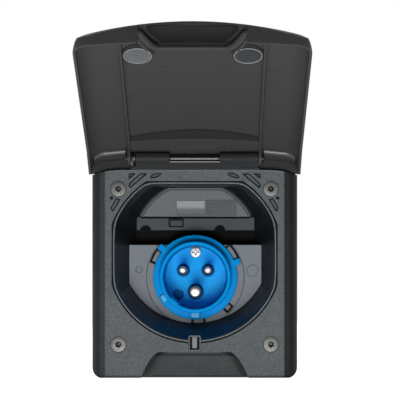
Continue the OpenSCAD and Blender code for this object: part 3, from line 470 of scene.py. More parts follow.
def mouth_radius(angle, half_w, top, radius, sharp=48):
    """Polar radius of the recess mouth: a smooth least of a circle, two straight sides and a flat top."""
    tiny = 1e-6
    side = half_w / np.maximum(np.abs(np.cos(angle)), tiny)
    head = top / np.maximum(np.sin(angle), tiny)
    inverse = radius ** -sharp + side ** -sharp + np.where(np.sin(angle) > 0, head ** -sharp, 0)
    return inverse ** (-1 / sharp)


def rounded_block(size, centre, turn=0.0, power=8, rows=24, columns=48):
    """Box with soft edges: a superellipsoid of a high power, moved into place and turned about Y in degrees."""
    deep = np.linspace(-math.pi / 2, math.pi / 2, rows)[:, None]
    around = np.linspace(0, TAU, columns, endpoint=False)[None, :]

    def bulge(value):
        # Rounding makes the cosine at the poles a true zero, so that they close
        value = np.round(value, 9)
        return np.sign(value) * np.abs(value) ** (2 / power)

    x = bulge(np.cos(deep)) * bulge(np.cos(around)) * size[0] / 2 + centre[0]
    z = bulge(np.cos(deep)) * bulge(np.sin(around)) * size[2] / 2 + centre[2]
    y = bulge(np.sin(deep)) * np.ones_like(around) * size[1] / 2 + centre[1]
    cosine, sine = math.cos(math.radians(turn)), math.sin(math.radians(turn))
    return np.stack((x * cosine - z * sine, y, x * sine + z * cosine), axis=-1)


def swung(points):
    """Turns points of the closed lid, taken from the hinge pin, about the pin into the open lid's place."""
    turn = -math.radians(frame["joints"][0]["range_deg"][1])
    x, y, z = np.moveaxis(points, -1, 0)
    return np.stack((x, PIN_Y + y * math.cos(turn) - z * math.sin(turn),
                     PIN_Z + y * math.sin(turn) + z * math.cos(turn)), axis=-1)


def lid_inner(x):
    """Depth of the lid's inner face from the pin: a shallow parabola that rounds up into the skirts."""
    crown, flat, edge, bend = -7 * MM, 52.4 * MM, 9.6 * MM, 855.6 * MM
    # The quarter round stops just short of upright
    over = np.clip(np.abs(x) - flat, 0, edge * 0.995)
    return crown + np.minimum(np.abs(x), flat) ** 2 / bend + edge - np.sqrt(edge ** 2 - over ** 2)


def edge_tube(outline, y, radius, columns=8, closed=True):
    """Bead along an outline in X and Z: a circle across the outline's direction at each of its points."""
    way = np.roll(outline, -1, axis=0) - np.roll(outline, 1, axis=0) if closed else np.gradient(outline, axis=0)
    way = way / np.linalg.norm(way, axis=1, keepdims=True)
    turn = np.linspace(0, TAU, columns, endpoint=False)[None, :]
    x = outline[:, :1] + way[:, 1:] * radius * np.cos(turn)
    z = outline[:, 1:] - way[:, :1] * radius * np.cos(turn)
    return np.stack((x, y + radius * np.sin(turn) + 0 * x, z), axis=-1)


def capped(grid):
    """Closes the two ends of a swept ring by drawing each end's loop in to its middle."""
    ends = [np.broadcast_to(grid[i].mean(axis=0), grid[i].shape)[None] for i in (0, -1)]
    return np.concatenate((ends[0], grid, ends[1]))


class INLET_OT_finishes(bpy.types.Operator):
    """Give every CAD node its finish and soft shading"""

    bl_idname = "inlet.finishes"
    bl_label = "Finishes"

    def execute(self, context):
        FINISHES.update(make_materials())
        shading = soft_shading()
        for part in frame["record"]["subparts"]:
            node = frame["nodes"][part["node"]]
            node.material_slots[0].material = FINISHES[part["material_slot"]]
            node.modifiers.new("soft_shading", "NODES").node_group = shading
        # Steel of the hinge pin and its clip is darker than the screws' steel, with narrow glints
        dark_steel = metal("steel_dark", linear("#4a4a49"), roughness=0.34, line=0.5, depth=0.002)
        own = {
            # Satin polyamide of the contact block has a milky sheen
            "contact_block": moulding("polyamide_satin_blue", colours().contacts, roughness=0.42, grain=1.6,
                                      depth=0.004, mottle=0.03, specular=0.09),
            # Polyamide of the panel is a darker grey than the pedestal's
            "label_panel": moulding("polyamide_panel", colours().panel, roughness=0.45, grain=1.2, depth=0.01,
                                    mottle=0.05, specular=0.25, crevice=0.7),
            "hinge_pin": dark_steel,
            "pin_clip": dark_steel,
        }
        for name, material in own.items():
            frame["nodes"][name].material_slots[0].material = material
        return {"FINISHED"}


class INLET_OT_lip(bpy.types.Operator):
    """Make the rounded lip round the recess and the latch tongue at its foot"""

    bl_idname = "inlet.lip"
    bl_label = "Recess lip"

    def execute(self, context):
        # Painted highlight: polyamide on the rounded lip is painted light grey, so that it reads as a thin light line
        # beside the black seal
        highlight_finish = moulding("polyamide_lip_painted_highlight", linear("#6a7073"), roughness=0.4, grain=1.1, depth=0.01,
                          mottle=0.05, specular=0.3, crevice=0.2)
        self.lip(highlight_finish)
        self.latch(highlight_finish)
        return {"FINISHED"}

    def lip(self, highlight_finish):
        """Bar with rounded edges carried round the mouth: its section gives an inset of the mouth and a depth."""
        size = sizes()
        low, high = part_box("aperture_seal")
        seal, centre_z, rear = 0.65 * MM, 6.9 * MM, 2 * MM
        front, wide = -size.lip_proud, size.lip_width
        section = rounded_profile([(0, front), (wide, front), (wide, rear), (0, rear)],
                                  np.array((0.5, 0.7, 0.1, 0.1)) * MM)
        inset, depth = section[:, :1], section[:, 1:]
        angle = np.linspace(0, TAU, 720, endpoint=False)
        radius = mouth_radius(angle[None, :], (high.x - low.x) / 2 - seal - inset, high.z - seal - centre_z - inset,
                              centre_z - low.z - seal - inset)
        grid = np.stack((radius * np.cos(angle), FACE_Y + depth + 0 * radius,
                         centre_z + radius * np.sin(angle)), axis=-1)
        make_piece("recess_lip", [(grid, True)], "housing_plastic", "socket", highlight_finish)

    def latch(self, highlight_finish):
        """Tongue with soft edges inside a bead round a rounded rectangle, over the dark floor of its slits."""
        half, top, foot, corner = 3.25 * MM, -41.4 * MM, -49.9 * MM, 0.6 * MM
        proud, bead = 0.05 * MM, 0.45 * MM
        tongue_size, tongue_at = np.array((3.2, 2.2, 7.2)) * MM, (0, FACE_Y + 0.45 * MM, -45.1 * MM)
        floor_size, floor_at = np.array((6.4, 1.2, 8.4)) * MM, (0, FACE_Y + 0.3 * MM, -45.6 * MM)
        outline = rounded_profile([(-half, foot), (half, foot), (half, top), (-half, top)], corner)
        # The bead and the tongue carry the lip's painted highlight
        grids = [(edge_tube(outline, FACE_Y - proud, bead), True), (rounded_block(tongue_size, tongue_at), False)]
        make_piece("latch_tongue", grids, "housing_plastic", "socket", highlight_finish)
        # Satin polyamide down in the slits beside the tongue gets hardly any light
        deep = moulding("polyamide_deep", colours().housing * 0.5, roughness=0.6, grain=1.1, depth=0.01,
                        mottle=0.05, specular=0.05)
        make_piece("latch_slits", [(rounded_block(floor_size, floor_at), False)], "housing_plastic", "socket", deep)


class INLET_OT_grooves(bpy.types.Operator):
    """Make the frame's grooves, painted top-edge highlight, painted scoop-side shade, hinge plates and the recess's
    slits
    """

    bl_idname = "inlet.grooves"
    bl_label = "Grooves"

    def execute(self, context):
        self.corner_slots()
        self.top_edge()
        self.scoop_sides()
        self.hinge_backing()
        self.snap_slits()
        return {"FINISHED"}

    def corner_slots(self):
        """Beads along the foot of each slot's wall: rounded polygons, a tilted ellipse and a dot, on both sides."""
        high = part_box("mounting_screws")[1]
        screw = np.array((high.x, high.z)) - sizes().screw_head
        # Corners in mm from the upper right screw
        polygons = (
            ((-6.3, 9.1), (-10.5, 9.1), (-6.3, 5.8)),
            ((-6.3, 2.9), (-12.8, 9.1), (-17.3, 9.1), (-7.2, 0.5), (-6.3, 1.1)),
            ((1.2, -5.5), (-1.2, -6.4), (2.9, -13.5), (4.1, -12.9), (4.4, -10.9)),
        )
        lens_half, lens_at, tilt = (3.65, 1.2), (-22.2, 7.9), math.radians(-19)
        dot_radius, dot_at = 0.75, (4.0, -5.5)
        corner, sunk, bead = 0.5 * MM, 0.4 * MM, 0.45 * MM
        outlines = [rounded_profile(np.array(polygon) * MM, corner) for polygon in polygons]
        turn = np.linspace(0, TAU, 40, endpoint=False)
        circle = np.stack((np.cos(turn), np.sin(turn)), axis=-1)
        spin = np.array(((math.cos(tilt), math.sin(tilt)), (-math.sin(tilt), math.cos(tilt))))
        outlines.append(((circle * lens_half) @ spin + lens_at) * MM)
        outlines.append((circle * dot_radius + dot_at) * MM)
        grids = [(edge_tube((outline + screw) * (side, 1), FACE_Y + sunk, bead), True)
                 for outline in outlines for side in (-1, 1)]
        # Spark-eroded ASA down in the narrow grooves gets hardly any light
        dark = moulding("ASA_groove", colours().frame * 0.1, roughness=0.7, grain=0.9, depth=0.02, mottle=0.1,
                        specular=0.05)
        make_piece("slot_grooves", grids, "frame_plastic", "socket", dark)

    def top_edge(self):
        """Bead along the frame's top edge, which is flat in the middle and drops along an arc at each side."""
        reach, flat, bend, top = 53 * MM, 42 * MM, 75.2 * MM, 57.6 * MM
        inset, bead = 0.3 * MM, 0.34 * MM
        x = np.linspace(-reach, reach, 120)
        over = np.maximum(np.abs(x) - flat, 0)
        path = np.stack((x, top - inset - bend + np.sqrt(bend ** 2 - over ** 2)), axis=-1)
        tube = edge_tube(path, FACE_Y + inset, bead, closed=False)
        # Painted highlight: spark-eroded ASA along the edge is painted light, so that it reads as a thin light line
        highlight_finish = moulding("ASA_edge_painted_highlight", linear("#7d8386"), roughness=0.4, grain=0.9, depth=0.01, mottle=0.1,
                          specular=0.3, crevice=0.2)
        make_piece("frame_top_edge", [(capped(tube), False)], "frame_plastic", "socket", highlight_finish)

    def scoop_sides(self):
        """Strips of painted shade on the scoop's floor along its bell-shaped sides.

        The half width grows evenly with the way outwards, and z falls with a power of it. The floor sinks along a
        short ramp, and slowly from there. The mesh keeps each point's inset from the side, and the painted shade
        darkens as the inset shrinks.
        """
        neck, flare, top, fall = 21 * MM, 11.6 * MM, -50.9 * MM, 16.5 * MM
        ramp, ramp_sunk, foot_sunk = 2.4 * MM, 5.2 * MM, 6.4 * MM
        near, wide, proud, thick = 0.1 * MM, 6 * MM, 0.12 * MM, 0.5 * MM
        first, last, dark_to, dark_share = 0.05, 0.94, 2.4, 0.18
        share = np.linspace(first, last, 60)[:, None]
        inset = np.linspace(near, wide, 16)[None, :]
        down = fall * share ** BELL
        slow = ramp_sunk + (foot_sunk - ramp_sunk) * (down - ramp) / (fall - ramp)
        sunk = np.where(down < ramp, ramp_sunk * down / ramp, slow)
        grids = []
        for side in (-1, 1):
            x = side * (neck + flare * share - inset)
            floor = np.stack(np.broadcast_arrays(x, FACE_Y + sunk - proud, top - down), axis=-1)
            under = floor[:, ::-1] + np.array((0, thick, 0))
            grids.append((capped(np.concatenate((floor, under), axis=1)), False))
        # Painted shade: spark-eroded ASA on the scoop's floor darkens towards the sides, where the scoop turns away
        # from the light
        scoop_shade = moulding("ASA_scoop_painted_shade", colours().frame * 0.42, roughness=0.55, grain=0.9, depth=0.04,
                         mottle=0.22, specular=0.12, crevice=0.2, fades=(("inset", wide / MM, dark_to, dark_share),))
        mesh = make_piece("scoop_sides", grids, "frame_plastic", "socket", scoop_shade).data
        points = np.empty(len(mesh.vertices) * 3, np.float32)
        mesh.vertices.foreach_get("co", points)
        x, _, z = points.reshape(-1, 3).T
        edge = neck + flare * (np.clip(top - z, 0, fall) / fall) ** (1 / BELL)
        mesh.attributes.new("inset", "FLOAT", "POINT").data.foreach_set("value", edge - np.abs(x))

    def hinge_backing(self):
        """Small plates with sharp edges behind the gaps between the knuckles and the lid's ears."""
        size, centre = np.array((3.15, 0.6, 7.4)) * MM, np.array((36.58, -8.6, 60.9)) * MM
        grids = [(rounded_block(size, centre * (side, 1, 1), power=SHARP), False) for side in (-1, 1)]
        make_piece("hinge_backing", grids, "frame_plastic", "socket")

    def snap_slits(self):
        """Beads round sectors of a ring about the inlet's axis, round a bare frame and along the panel's foot.

        The line along the panel's foot is straight, and a high power of the way outwards turns its ends up.
        """
        pedestal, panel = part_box("inlet_pedestal")[0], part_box("label_panel")[0]
        inner, outer = 25.6 * MM, 29.4 * MM
        # Middle and half width of each sector in degrees
        sectors = ((152, 9), (34, 10), (-43, 5), (-86, 8))
        bare_half, bare_at, bare_corner = np.array((4.4, 2.4)) * MM, np.array((-12.4, 28.0)) * MM, 0.4 * MM
        reach, drop, upturn, upturn_power = 36.6 * MM, 0.7 * MM, 2.6 * MM, 30
        grids = []
        for mid, half in sectors:
            angle = np.radians(np.linspace(mid - half, mid + half, 20))
            arc = np.stack((np.cos(angle), np.sin(angle)), axis=-1)
            outline = np.concatenate((arc * outer, arc[::-1] * inner)) + np.array((0, INLET_Z))
            grids.append((edge_tube(outline, y=pedestal.y + 0.25 * MM, radius=0.5 * MM), True))
        corners = np.array(((-1, -1), (1, -1), (1, 1), (-1, 1))) * bare_half + bare_at
        bare = rounded_profile(corners, bare_corner)
        grids.append((edge_tube(bare, y=BACK_Y - 0.45 * MM, radius=0.35 * MM), True))
        way = np.linspace(-1, 1, 161)
        line = np.stack((reach * way, panel.z - drop + upturn * np.abs(way) ** upturn_power), axis=-1)
        tube = edge_tube(line, y=panel.y + 0.1 * MM, radius=0.48 * MM, closed=False)
        grids.append((capped(tube), False))
        # Grey polyamide in the narrow slits gets hardly any light
        dark = moulding("polyamide_slit", colours().pedestal * 0.03, roughness=0.6, grain=1.2, depth=0.01,
                        mottle=0.1, specular=0.05)
        make_piece("slit_edges", grids, "pedestal_plastic", "socket", dark)


def pin_radius(node):
    """Radius of a contact pin."""
    return sizes().earth_pin if node == "earth_pin" else sizes().live_pin


class INLET_OT_shroud(bpy.types.Operator):
    """Make the blue shroud with its rounded rim, flange, lugs, tabs and key rib, and the moats round the pins"""

    bl_idname = "inlet.shroud"
    bl_label = "Inlet shroud"

    def execute(self, context):
        size = sizes()
        block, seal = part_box("contact_block"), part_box("inlet_seal")
        fit, ledge, flange_lap = 0.2 * MM, 14 * MM, 0.6 * MM
        bore = (block[1].x - block[0].x) / 2 + fit
        outer = bore + size.shroud_wall
        base, front = seal[0].y, seal[0].y - size.flange_thick
        flange = seal[1].x + flange_lap
        self.moulded(bore, outer, ledge, flange, front, base)
        self.tabs(outer, front)
        self.wells()
        return {"FINISHED"}

    def moulded(self, bore, outer, ledge, flange, front, base):
        """Rounded section turned about the inlet's axis, with blocks for the lugs on the flange and the key rib."""
        axis = np.array((0, 0, INLET_Z))
        step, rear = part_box("contact_block")[1].y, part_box("inlet_shroud")[1].y
        section = rounded_profile(
            [(RIM_Y, bore), (RIM_Y, outer), (front, outer), (front, flange), (base, flange), (base, outer),
             (rear, outer), (rear, ledge), (step, ledge), (step, bore)],
            np.array((0.8, 0.9, 0.8, 0.9, 0.2, 0.2, 0.4, 0.2, 0.2, 0.2)) * MM)
        grids = [(turned(section[:, 0], section[:, 1], axis, columns=192), True)]
        lug_long, lug_wide, lug_turns = 3.4 * MM, 4 * MM, (139, 20)
        reach = flange + lug_long
        lug_size, lug_at = (reach - outer, base - front, lug_wide), ((reach + outer) / 2, (front + base) / 2, 0)
        grids += [(rounded_block(lug_size, lug_at, turn) + axis, False) for turn in lug_turns]
        rib_high, rib_wide, rib_gap, rib_turn, rib_power = 3.4 * MM, 10 * MM, 0.1 * MM, 229.5, 4
        rib_size = (rib_high, CONTACT_Y - RIM_Y - rib_gap, rib_wide)
        rib_at = (bore + rib_gap, (RIM_Y + CONTACT_Y) / 2, 0)
        grids.append((rounded_block(rib_size, rib_at, rib_turn, rib_power) + axis, False))
        make_piece("shroud_moulding", grids, "inlet_plastic", "socket", replaced=("inlet_shroud",))

    def tabs(self, outer, front):
        """Two soft blocks on the flange, each turned to its place about the inlet's axis."""
        axis = np.array((0, 0, INLET_Z))
        high, deep, centre = 3.4 * MM, 4.5 * MM, (outer + 1.4 * MM, front - 0.75 * MM, 0)
        # Turn in degrees and width in mm
        grids = [(rounded_block((high, deep, wide * MM), centre, turn) + axis, False)
                 for turn, wide in ((214, 4.6), (270, 5.4))]
        # Painted light: glossy polyamide on the two tabs is painted paler than the shroud, so that their faces look lit
        painted_lit = moulding("polyamide_blue_painted_lit", linear("#58bcf4"), roughness=0.25, grain=1.6, depth=0.002,
                        mottle=0.02, specular=0.1, crevice=0.2)
        make_piece("shroud_tabs", grids, "inlet_plastic", "socket", painted_lit)

    def wells(self):
        """Shallow moats round the pins: a dished ring inside a rounded bead."""
        wide, dish, bead, bead_high = 1.4 * MM, 0.08 * MM, 0.3 * MM, 0.25 * MM
        moats, beads = [], []
        turn = np.linspace(0, TAU, 12, endpoint=False)
        for node in CONTACT_PINS:
            centre, radius = middle(node), pin_radius(node)
            centre[1] = CONTACT_Y
            moat = radius + wide / 2 + wide / 2 * np.cos(turn)
            moats.append((turned(dish * np.sin(turn), moat, centre, columns=64), True))
            ring = radius + wide + bead + bead * np.cos(turn)
            beads.append((turned(bead_high * np.sin(turn), ring, centre, columns=64), True))
        # Glossy polyamide in the moats lies in the pins' shade
        deep = moulding("polyamide_deep_blue", colours().inlet * 0.12, roughness=0.3, grain=1.6, depth=0.002,
                        mottle=0.02, specular=0.1)
        make_piece("pin_moats", moats, "inlet_plastic", "socket", deep)
        make_piece("pin_beads", beads, "inlet_plastic", "socket")


class INLET_OT_pins(bpy.types.Operator):
    """Make the three contact pins with domed tips and terminal barrels"""

    bl_idname = "inlet.pins"
    bl_label = "Contact pins"

    def execute(self, context):
        for node in CONTACT_PINS:
            self.pin(node)
        return {"FINISHED"}

    def pin(self, node):
        """Profile turned about the pin's axis: a flattened dome, the pin, its barrel and the bore for the wire."""
        low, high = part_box(node)
        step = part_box("contact_block")[1].y
        wire, wire_deep, soft, fullness = 1.6 * MM, 8 * MM, 0.3 * MM, 0.75
        # Height of the dome as a share of the radius
        dome = 0.4 if node == "earth_pin" else 0.7
        radius, barrel, bottom = pin_radius(node), (high.x - low.x) / 2, high.y - wire_deep
        turn = np.linspace(0, math.pi / 2, 10)
        along = np.concatenate((low.y + dome * radius * (1 - np.cos(turn)), [
            step, step, step + soft, high.y - soft, high.y, high.y, bottom, bottom]))
        across = np.concatenate((radius * np.sin(turn) ** fullness, [
            radius, barrel - soft, barrel, barrel, barrel - soft, wire, wire, 0]))
        grid = turned(along, across, middle(node) * (1, 0, 1), columns=64)
        make_piece(node + "_turned", [(grid, False)], "nickel", "socket", replaced=(node,))


class INLET_OT_screws(bpy.types.Operator):
    """Make the wall screws with sockets and threads, and the cross-head screw of the contact block"""

    bl_idname = "inlet.screws"
    bl_label = "Screws"

    def execute(self, context):
        self.wall_screws()
        self.block_screw()
        return {"FINISHED"}

    def wall_screws(self):
        """Rings from the socket's floor over the countersunk head, the plain neck and the thread to the point."""
        size = sizes()
        columns, high = 72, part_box("mounting_screws")[1]
        head, shank = size.screw_head, size.screw_shank
        cone, neck = head - shank, shank - 0.3 * MM
        socket_deep, ridge_high, ridge_step, point = 3.4 * MM, 0.55 * MM, 0.15 * MM, 3 * MM
        hexagon = polygon_radius(6, size.socket_flat, columns, math.pi / 6)
        ring = np.ones(columns)
        # Depth under the face and radius of each ring: socket, its chamfer, flat top, soft edge, cone and neck
        start = [
            (socket_deep, 0 * ring), (socket_deep, hexagon * 0.98), (0.12 * MM, hexagon),
            (0.0, hexagon + 0.15 * MM), (0.0, ring * (head - 0.25 * MM)), (0.06 * MM, ring * (head - 0.06 * MM)),
            (0.2 * MM, ring * (head - 0.1 * MM)), (cone, ring * shank), (cone + 0.3 * MM, ring * neck),
            (-FACE_Y, ring * neck),
        ]
        thread = np.arange(0.0, high.y - point, ridge_step)
        ridge = thread_radius(thread, shank - ridge_high, ridge_high, size.screw_pitch, columns)
        tip = np.linspace(0, 1, 12)[:, None]
        along = np.concatenate(([y + FACE_Y for y, _ in start], thread, high.y - point * (1 - tip[:, 0])))
        across = np.concatenate((np.stack([r for _, r in start]), ridge, (1 - tip) * ridge[-1]))
        x, z = high.x - head, high.z - head
        # Each screw stopped at another turn
        grids = [(turned(along, across, (x * right, 0, z * up), columns=columns, twist=0.4 * right + up), False)
                 for right in (-1, 1) for up in (-1, 1)]
        make_piece("wall_screws", grids, "screw_steel", "socket", replaced=("mounting_screws",))

    def block_screw(self):
        """Domed head with a cross that sinks towards its middle, and a plain shank."""
        low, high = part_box("block_screw")
        columns, head, shank, dome_high = 128, 3.35 * MM, 1.4 * MM, 0.3 * MM
        arm_half, arm_reach, cross_deep = 0.65 * MM, 2.4 * MM, 0.55 * MM
        side_slope, end_slope = 0.25 * MM, 0.7 * MM
        share = np.linspace(0, 1, 40)[:, None]
        turn = np.linspace(0, TAU, columns, endpoint=False)[None, :]
        x, z = head * share * np.cos(turn), head * share * np.sin(turn)

        def arm(across, outwards):
            beside = np.clip((arm_half - np.abs(across)) / side_slope, 0, 1)
            return beside * np.clip((arm_reach - np.abs(outwards)) / end_slope, 0, 1)

        dome = low.y + dome_high * share ** 4 + cross_deep * np.maximum(arm(x, z), arm(z, x))
        ring = np.ones((1, columns))
        along = np.concatenate((dome, CONTACT_Y * ring, CONTACT_Y * ring, high.y * ring, high.y * ring))
        across = np.concatenate((head * share * ring, head * ring, shank * ring, shank * ring, 0 * ring))
        grid = turned(along, across, middle("block_screw") * (1, 0, 1), columns=columns)
        # Zinc plate on the rolled head is grey and soft, and painted shade darkens the cross in it
        zinc = metal("steel_zinc_plated", linear("#bdbbb8"), roughness=0.45, line=0.5, depth=0.004)
        make_piece("cross_screw", [(grid, False)], "screw_steel", "socket", zinc, ("block_screw",), crisp=50)


class INLET_OT_lid(bpy.types.Operator):
    """Make the magnets, hinge-end rolls, finger pocket, painted shade in it and on the land's end, and ejector marks"""

    bl_idname = "inlet.lid"
    bl_label = "Lid details"

    def execute(self, context):
        # Painted shade: ASA painted darker than the satin round it stands for the shade in the pocket and on the land's
        # end
        painted_lid_shade = moulding("ASA_lid_painted_shade", colours().lid * 0.4, roughness=0.4, grain=0.9, depth=0.004, mottle=0.03,
                            specular=0.06, crevice=0.3)
        self.magnets()
        self.rolls()
        self.pocket_roll()
        self.pocket_lining(painted_lid_shade)
        self.land_end(painted_lid_shade)
        self.ejector_marks()
        return {"FINISHED"}

    def magnets(self):
        """Discs with a rounded rim round a shallow dish, and the seats' thin rims, turned about the lid's depth."""
        radius, half, rim, slope, dish = 7.25 * MM, 1.0 * MM, 1.0 * MM, 0.2 * MM, 0.12 * MM
        gap, bead = 0.2 * MM, 0.3 * MM
        section = rounded_profile(
            [(-half, 0), (-half, radius), (half, radius), (half, radius - rim),
             (half - dish, radius - rim - slope), (half - dish, 0)], np.array((0, 0.3, 0.5, 0.3, 0.1, 0)) * MM)
        disc = turned(section[:, 0], section[:, 1], (0, 0, 0))
        turn = np.linspace(0, TAU, 10, endpoint=False)
        ring = turned(half + bead * np.sin(turn), radius + gap + bead * np.cos(turn), (0, 0, 0))
        # Painted light: nickel on the left magnet is painted paler than on the right one, as the light from the left
        # would leave it
        painted_lit_nickel = metal("nickel_painted_lit", linear("#73787b"), roughness=0.55, line=0.7, depth=0.01)
        rims = []
        for node, material in (("lid_magnet_left", painted_lit_nickel), ("lid_magnet_right", FINISHES["magnet_nickel"])):
            shift = middle(node) - (0, PIN_Y, PIN_Z)
            make_piece(node + "_disc", [(swung(disc) + shift, False)], "magnet_nickel", "lid", material, (node,))
            rims.append((swung(ring) + shift, True))
        # Painted highlight: satin ASA of the seats' thin rims is painted light grey
        painted_lit = moulding("ASA_rim_painted_highlight", linear("#93979a"), roughness=0.4, grain=0.9, depth=0.006, mottle=0.06,
                        specular=0.3, crevice=0.2)
        make_piece("magnet_rims", rims, "lid_plastic", "lid", painted_lit)

    def rolls(self):
        """Convex rolls across the hinge-end corners: a quarter round from the inner face, then flat to the wall."""
        roll, wall, sunk = sizes().lid_roll, -4.7 * MM, 0.3 * MM
        near, far, first = 41.4 * MM, 60 * MM, -0.3
        turn = np.linspace(first, math.pi / 2, 12)[None, :]
        grids = []
        for side in (-1, 1):
            x = side * np.linspace(near, far, 40)[:, None]
            inner = lid_inner(x)
            depth = np.concatenate((inner + roll * np.sin(turn), inner + roll, inner - sunk), axis=1)
            down = np.concatenate((roll * np.cos(turn) + 0 * x, 0 * x + wall, 0 * x + wall), axis=1)
            curve = np.stack(np.broadcast_arrays(x, depth, -down), axis=-1)
            grids.append((swung(capped(curve)), False))
        # Satin ASA smoothed by the fingers is a little glossier on the rolls
        highlight_finish = moulding("ASA_rubbed", colours().lid, roughness=0.35, grain=0.9, depth=0.006, mottle=0.04,
                          specular=0.5, crevice=0.6)
        make_piece("hinge_end_rolls", grids, "lid_plastic", "lid", highlight_finish)

    def pocket_roll(self):
        """Roll along the finger pocket's crest: a circle carried along the bell's two sides and its foot.

        A running mean rounds the path's corners. The roll is thin along the foot, broad at the sides, where it also
        stands deeper, and tapers to rounded noses.
        """
        neck, flare, top, fall = 18.3, 11.5, 119.8, 20
        window, thin_to, change, foot_lift = 25, 17 * MM, 7 * MM, 2.2 * MM
        thin, broader, depth, rise, nose_long, nose_share = 1.3 * MM, 1.1 * MM, -2.3 * MM, 0.4 * MM, 5 * MM, 0.3
        share = np.linspace(0.9, 0.3, 30)
        side = np.stack((neck + flare * share, top + fall * share ** BELL), axis=-1)
        path = np.concatenate((side * (-1, 1), side[::-1])) * MM
        length = np.concatenate(([0], np.cumsum(np.linalg.norm(np.diff(path, axis=0), axis=1))))
        even = np.linspace(0, length[-1], 220)
        path = np.stack([np.interp(even, length, path[:, k]) for k in (0, 1)], axis=-1)
        padded = np.pad(path, ((window // 2, window // 2), (0, 0)), mode="reflect", reflect_type="odd")
        mean = np.full(window, 1 / window)
        path = np.stack([np.convolve(padded[:, k], mean, mode="valid") for k in (0, 1)], axis=-1)
        broad = np.clip((np.abs(path[:, :1]) - thin_to) / change, 0, 1)
        broad = broad ** 2 * (3 - 2 * broad)
        path = path - np.array((0, foot_lift)) * (1 - broad)
        nose = np.clip(np.minimum(even, even[-1] - even) / nose_long, 0, 1)[:, None]
        radius = (thin + broader * broad) * (nose_share + (1 - nose_share) * np.sqrt(nose * (2 - nose)))
        tube = edge_tube(path * (1, -1), depth + rise * broad, radius, columns=24, closed=False)
        make_piece("pocket_roll", [(swung(capped(tube)), False)], "lid_plastic", "lid")

    def pocket_lining(self, painted_lid_shade):
        """Sheet of painted shade on the pocket's floor: it widens with the bell, and quarter rounds cut its outer
        corners.
        """
        neck, flare, top, fall, corner = 15.4 * MM, 11.3 * MM, 119.9 * MM, 19.2 * MM, 5 * MM
        proud, thick = 0.12 * MM, 0.4 * MM
        share = np.linspace(0, 0.9, 24)[:, None]
        down = top + fall * share ** BELL
        into = np.clip((down - down[-1] + corner) / corner, 0, 1)
        half = neck + flare * share - corner * (1 - np.sqrt(1 - into ** 2))
        x = half * np.linspace(-1, 1, 60)[None, :]
        sheet = np.stack(np.broadcast_arrays(x, lid_inner(x) + proud, -down), axis=-1)
        under = sheet[:, ::-1] - np.array((0, thick, 0))
        grid = swung(capped(np.concatenate((sheet, under), axis=1)))
        make_piece("pocket_lining", [(grid, False)], "lid_plastic", "lid", painted_lid_shade)

    def land_end(self, painted_lid_shade):
        """Sheet of painted shade on the sloped end of the hinge land: a cone about a far point, eased into the lid's
        inner face.
        """
        half, far, far_down, slope, ease = 38.1 * MM, 200 * MM, 182 * MM, 5 / 3.7, 0.25 * MM
        lap, overrun, thick, ease_power = 0.1 * MM, 1.2 * MM, 0.5 * MM, 6
        foot_proud, line_proud, land_proud = 0.04 * MM, 0.05 * MM, 0.06 * MM
        x = np.linspace(-half, half, 96)[:, None]
        foot = lid_inner(x)
        share = np.linspace(0, 1, 14)[None, :]
        out = far - lap + ((LAND_Y - foot) * slope + overrun) * share
        line = LAND_Y + line_proud - np.maximum(out - far, 0) / slope
        depth = foot + foot_proud + ease * np.logaddexp(0, (line - foot) / ease) * (1 - share ** ease_power)
        down = np.sqrt(out ** 2 - x ** 2) - far_down
        curve = np.stack(np.broadcast_arrays(x, np.minimum(depth, LAND_Y + land_proud), -down), axis=-1)
        under = curve[:, ::-1] - np.array((0, thick, 0))
        grid = swung(capped(np.concatenate((curve, under), axis=1)))
        make_piece("land_end", [(grid, False)], "lid_plastic", "lid", painted_lid_shade)

    def ejector_marks(self):
        """Thin round beads on the land and the inner face: a small circle carried round a larger one."""
        radius, land_long, thin = 2.6 * MM, 15 * MM, 0.13 * MM
        land_spot, land_thick = (20.2 * MM, 6.8 * MM), 0.28 * MM
        turn = np.linspace(0, TAU, 64, endpoint=False)[None, :]
        around = np.linspace(0, TAU, 12, endpoint=False)[:, None]

        def bead(across, down, thick):
            ring = radius + thick * np.cos(around)
            x, z = across + ring * np.cos(turn), -down + ring * np.sin(turn)
            face = LAND_Y + 0 * x if down < land_long else lid_inner(x)
            return swung(np.stack((x, face + thick * np.sin(around), z), axis=-1)), True

        # Places in mm to each side and down from the hinge pin
        spots = np.array(((43, 92), (16.4, 92), (31.4, 67), (54, 57.5))) * MM
        grids = [bead(*land_spot, land_thick)]
        grids += [bead(side * across, down, thin) for side in (-1, 1) for across, down in spots]
        make_piece("ejector_marks", grids, "lid_plastic", "lid")


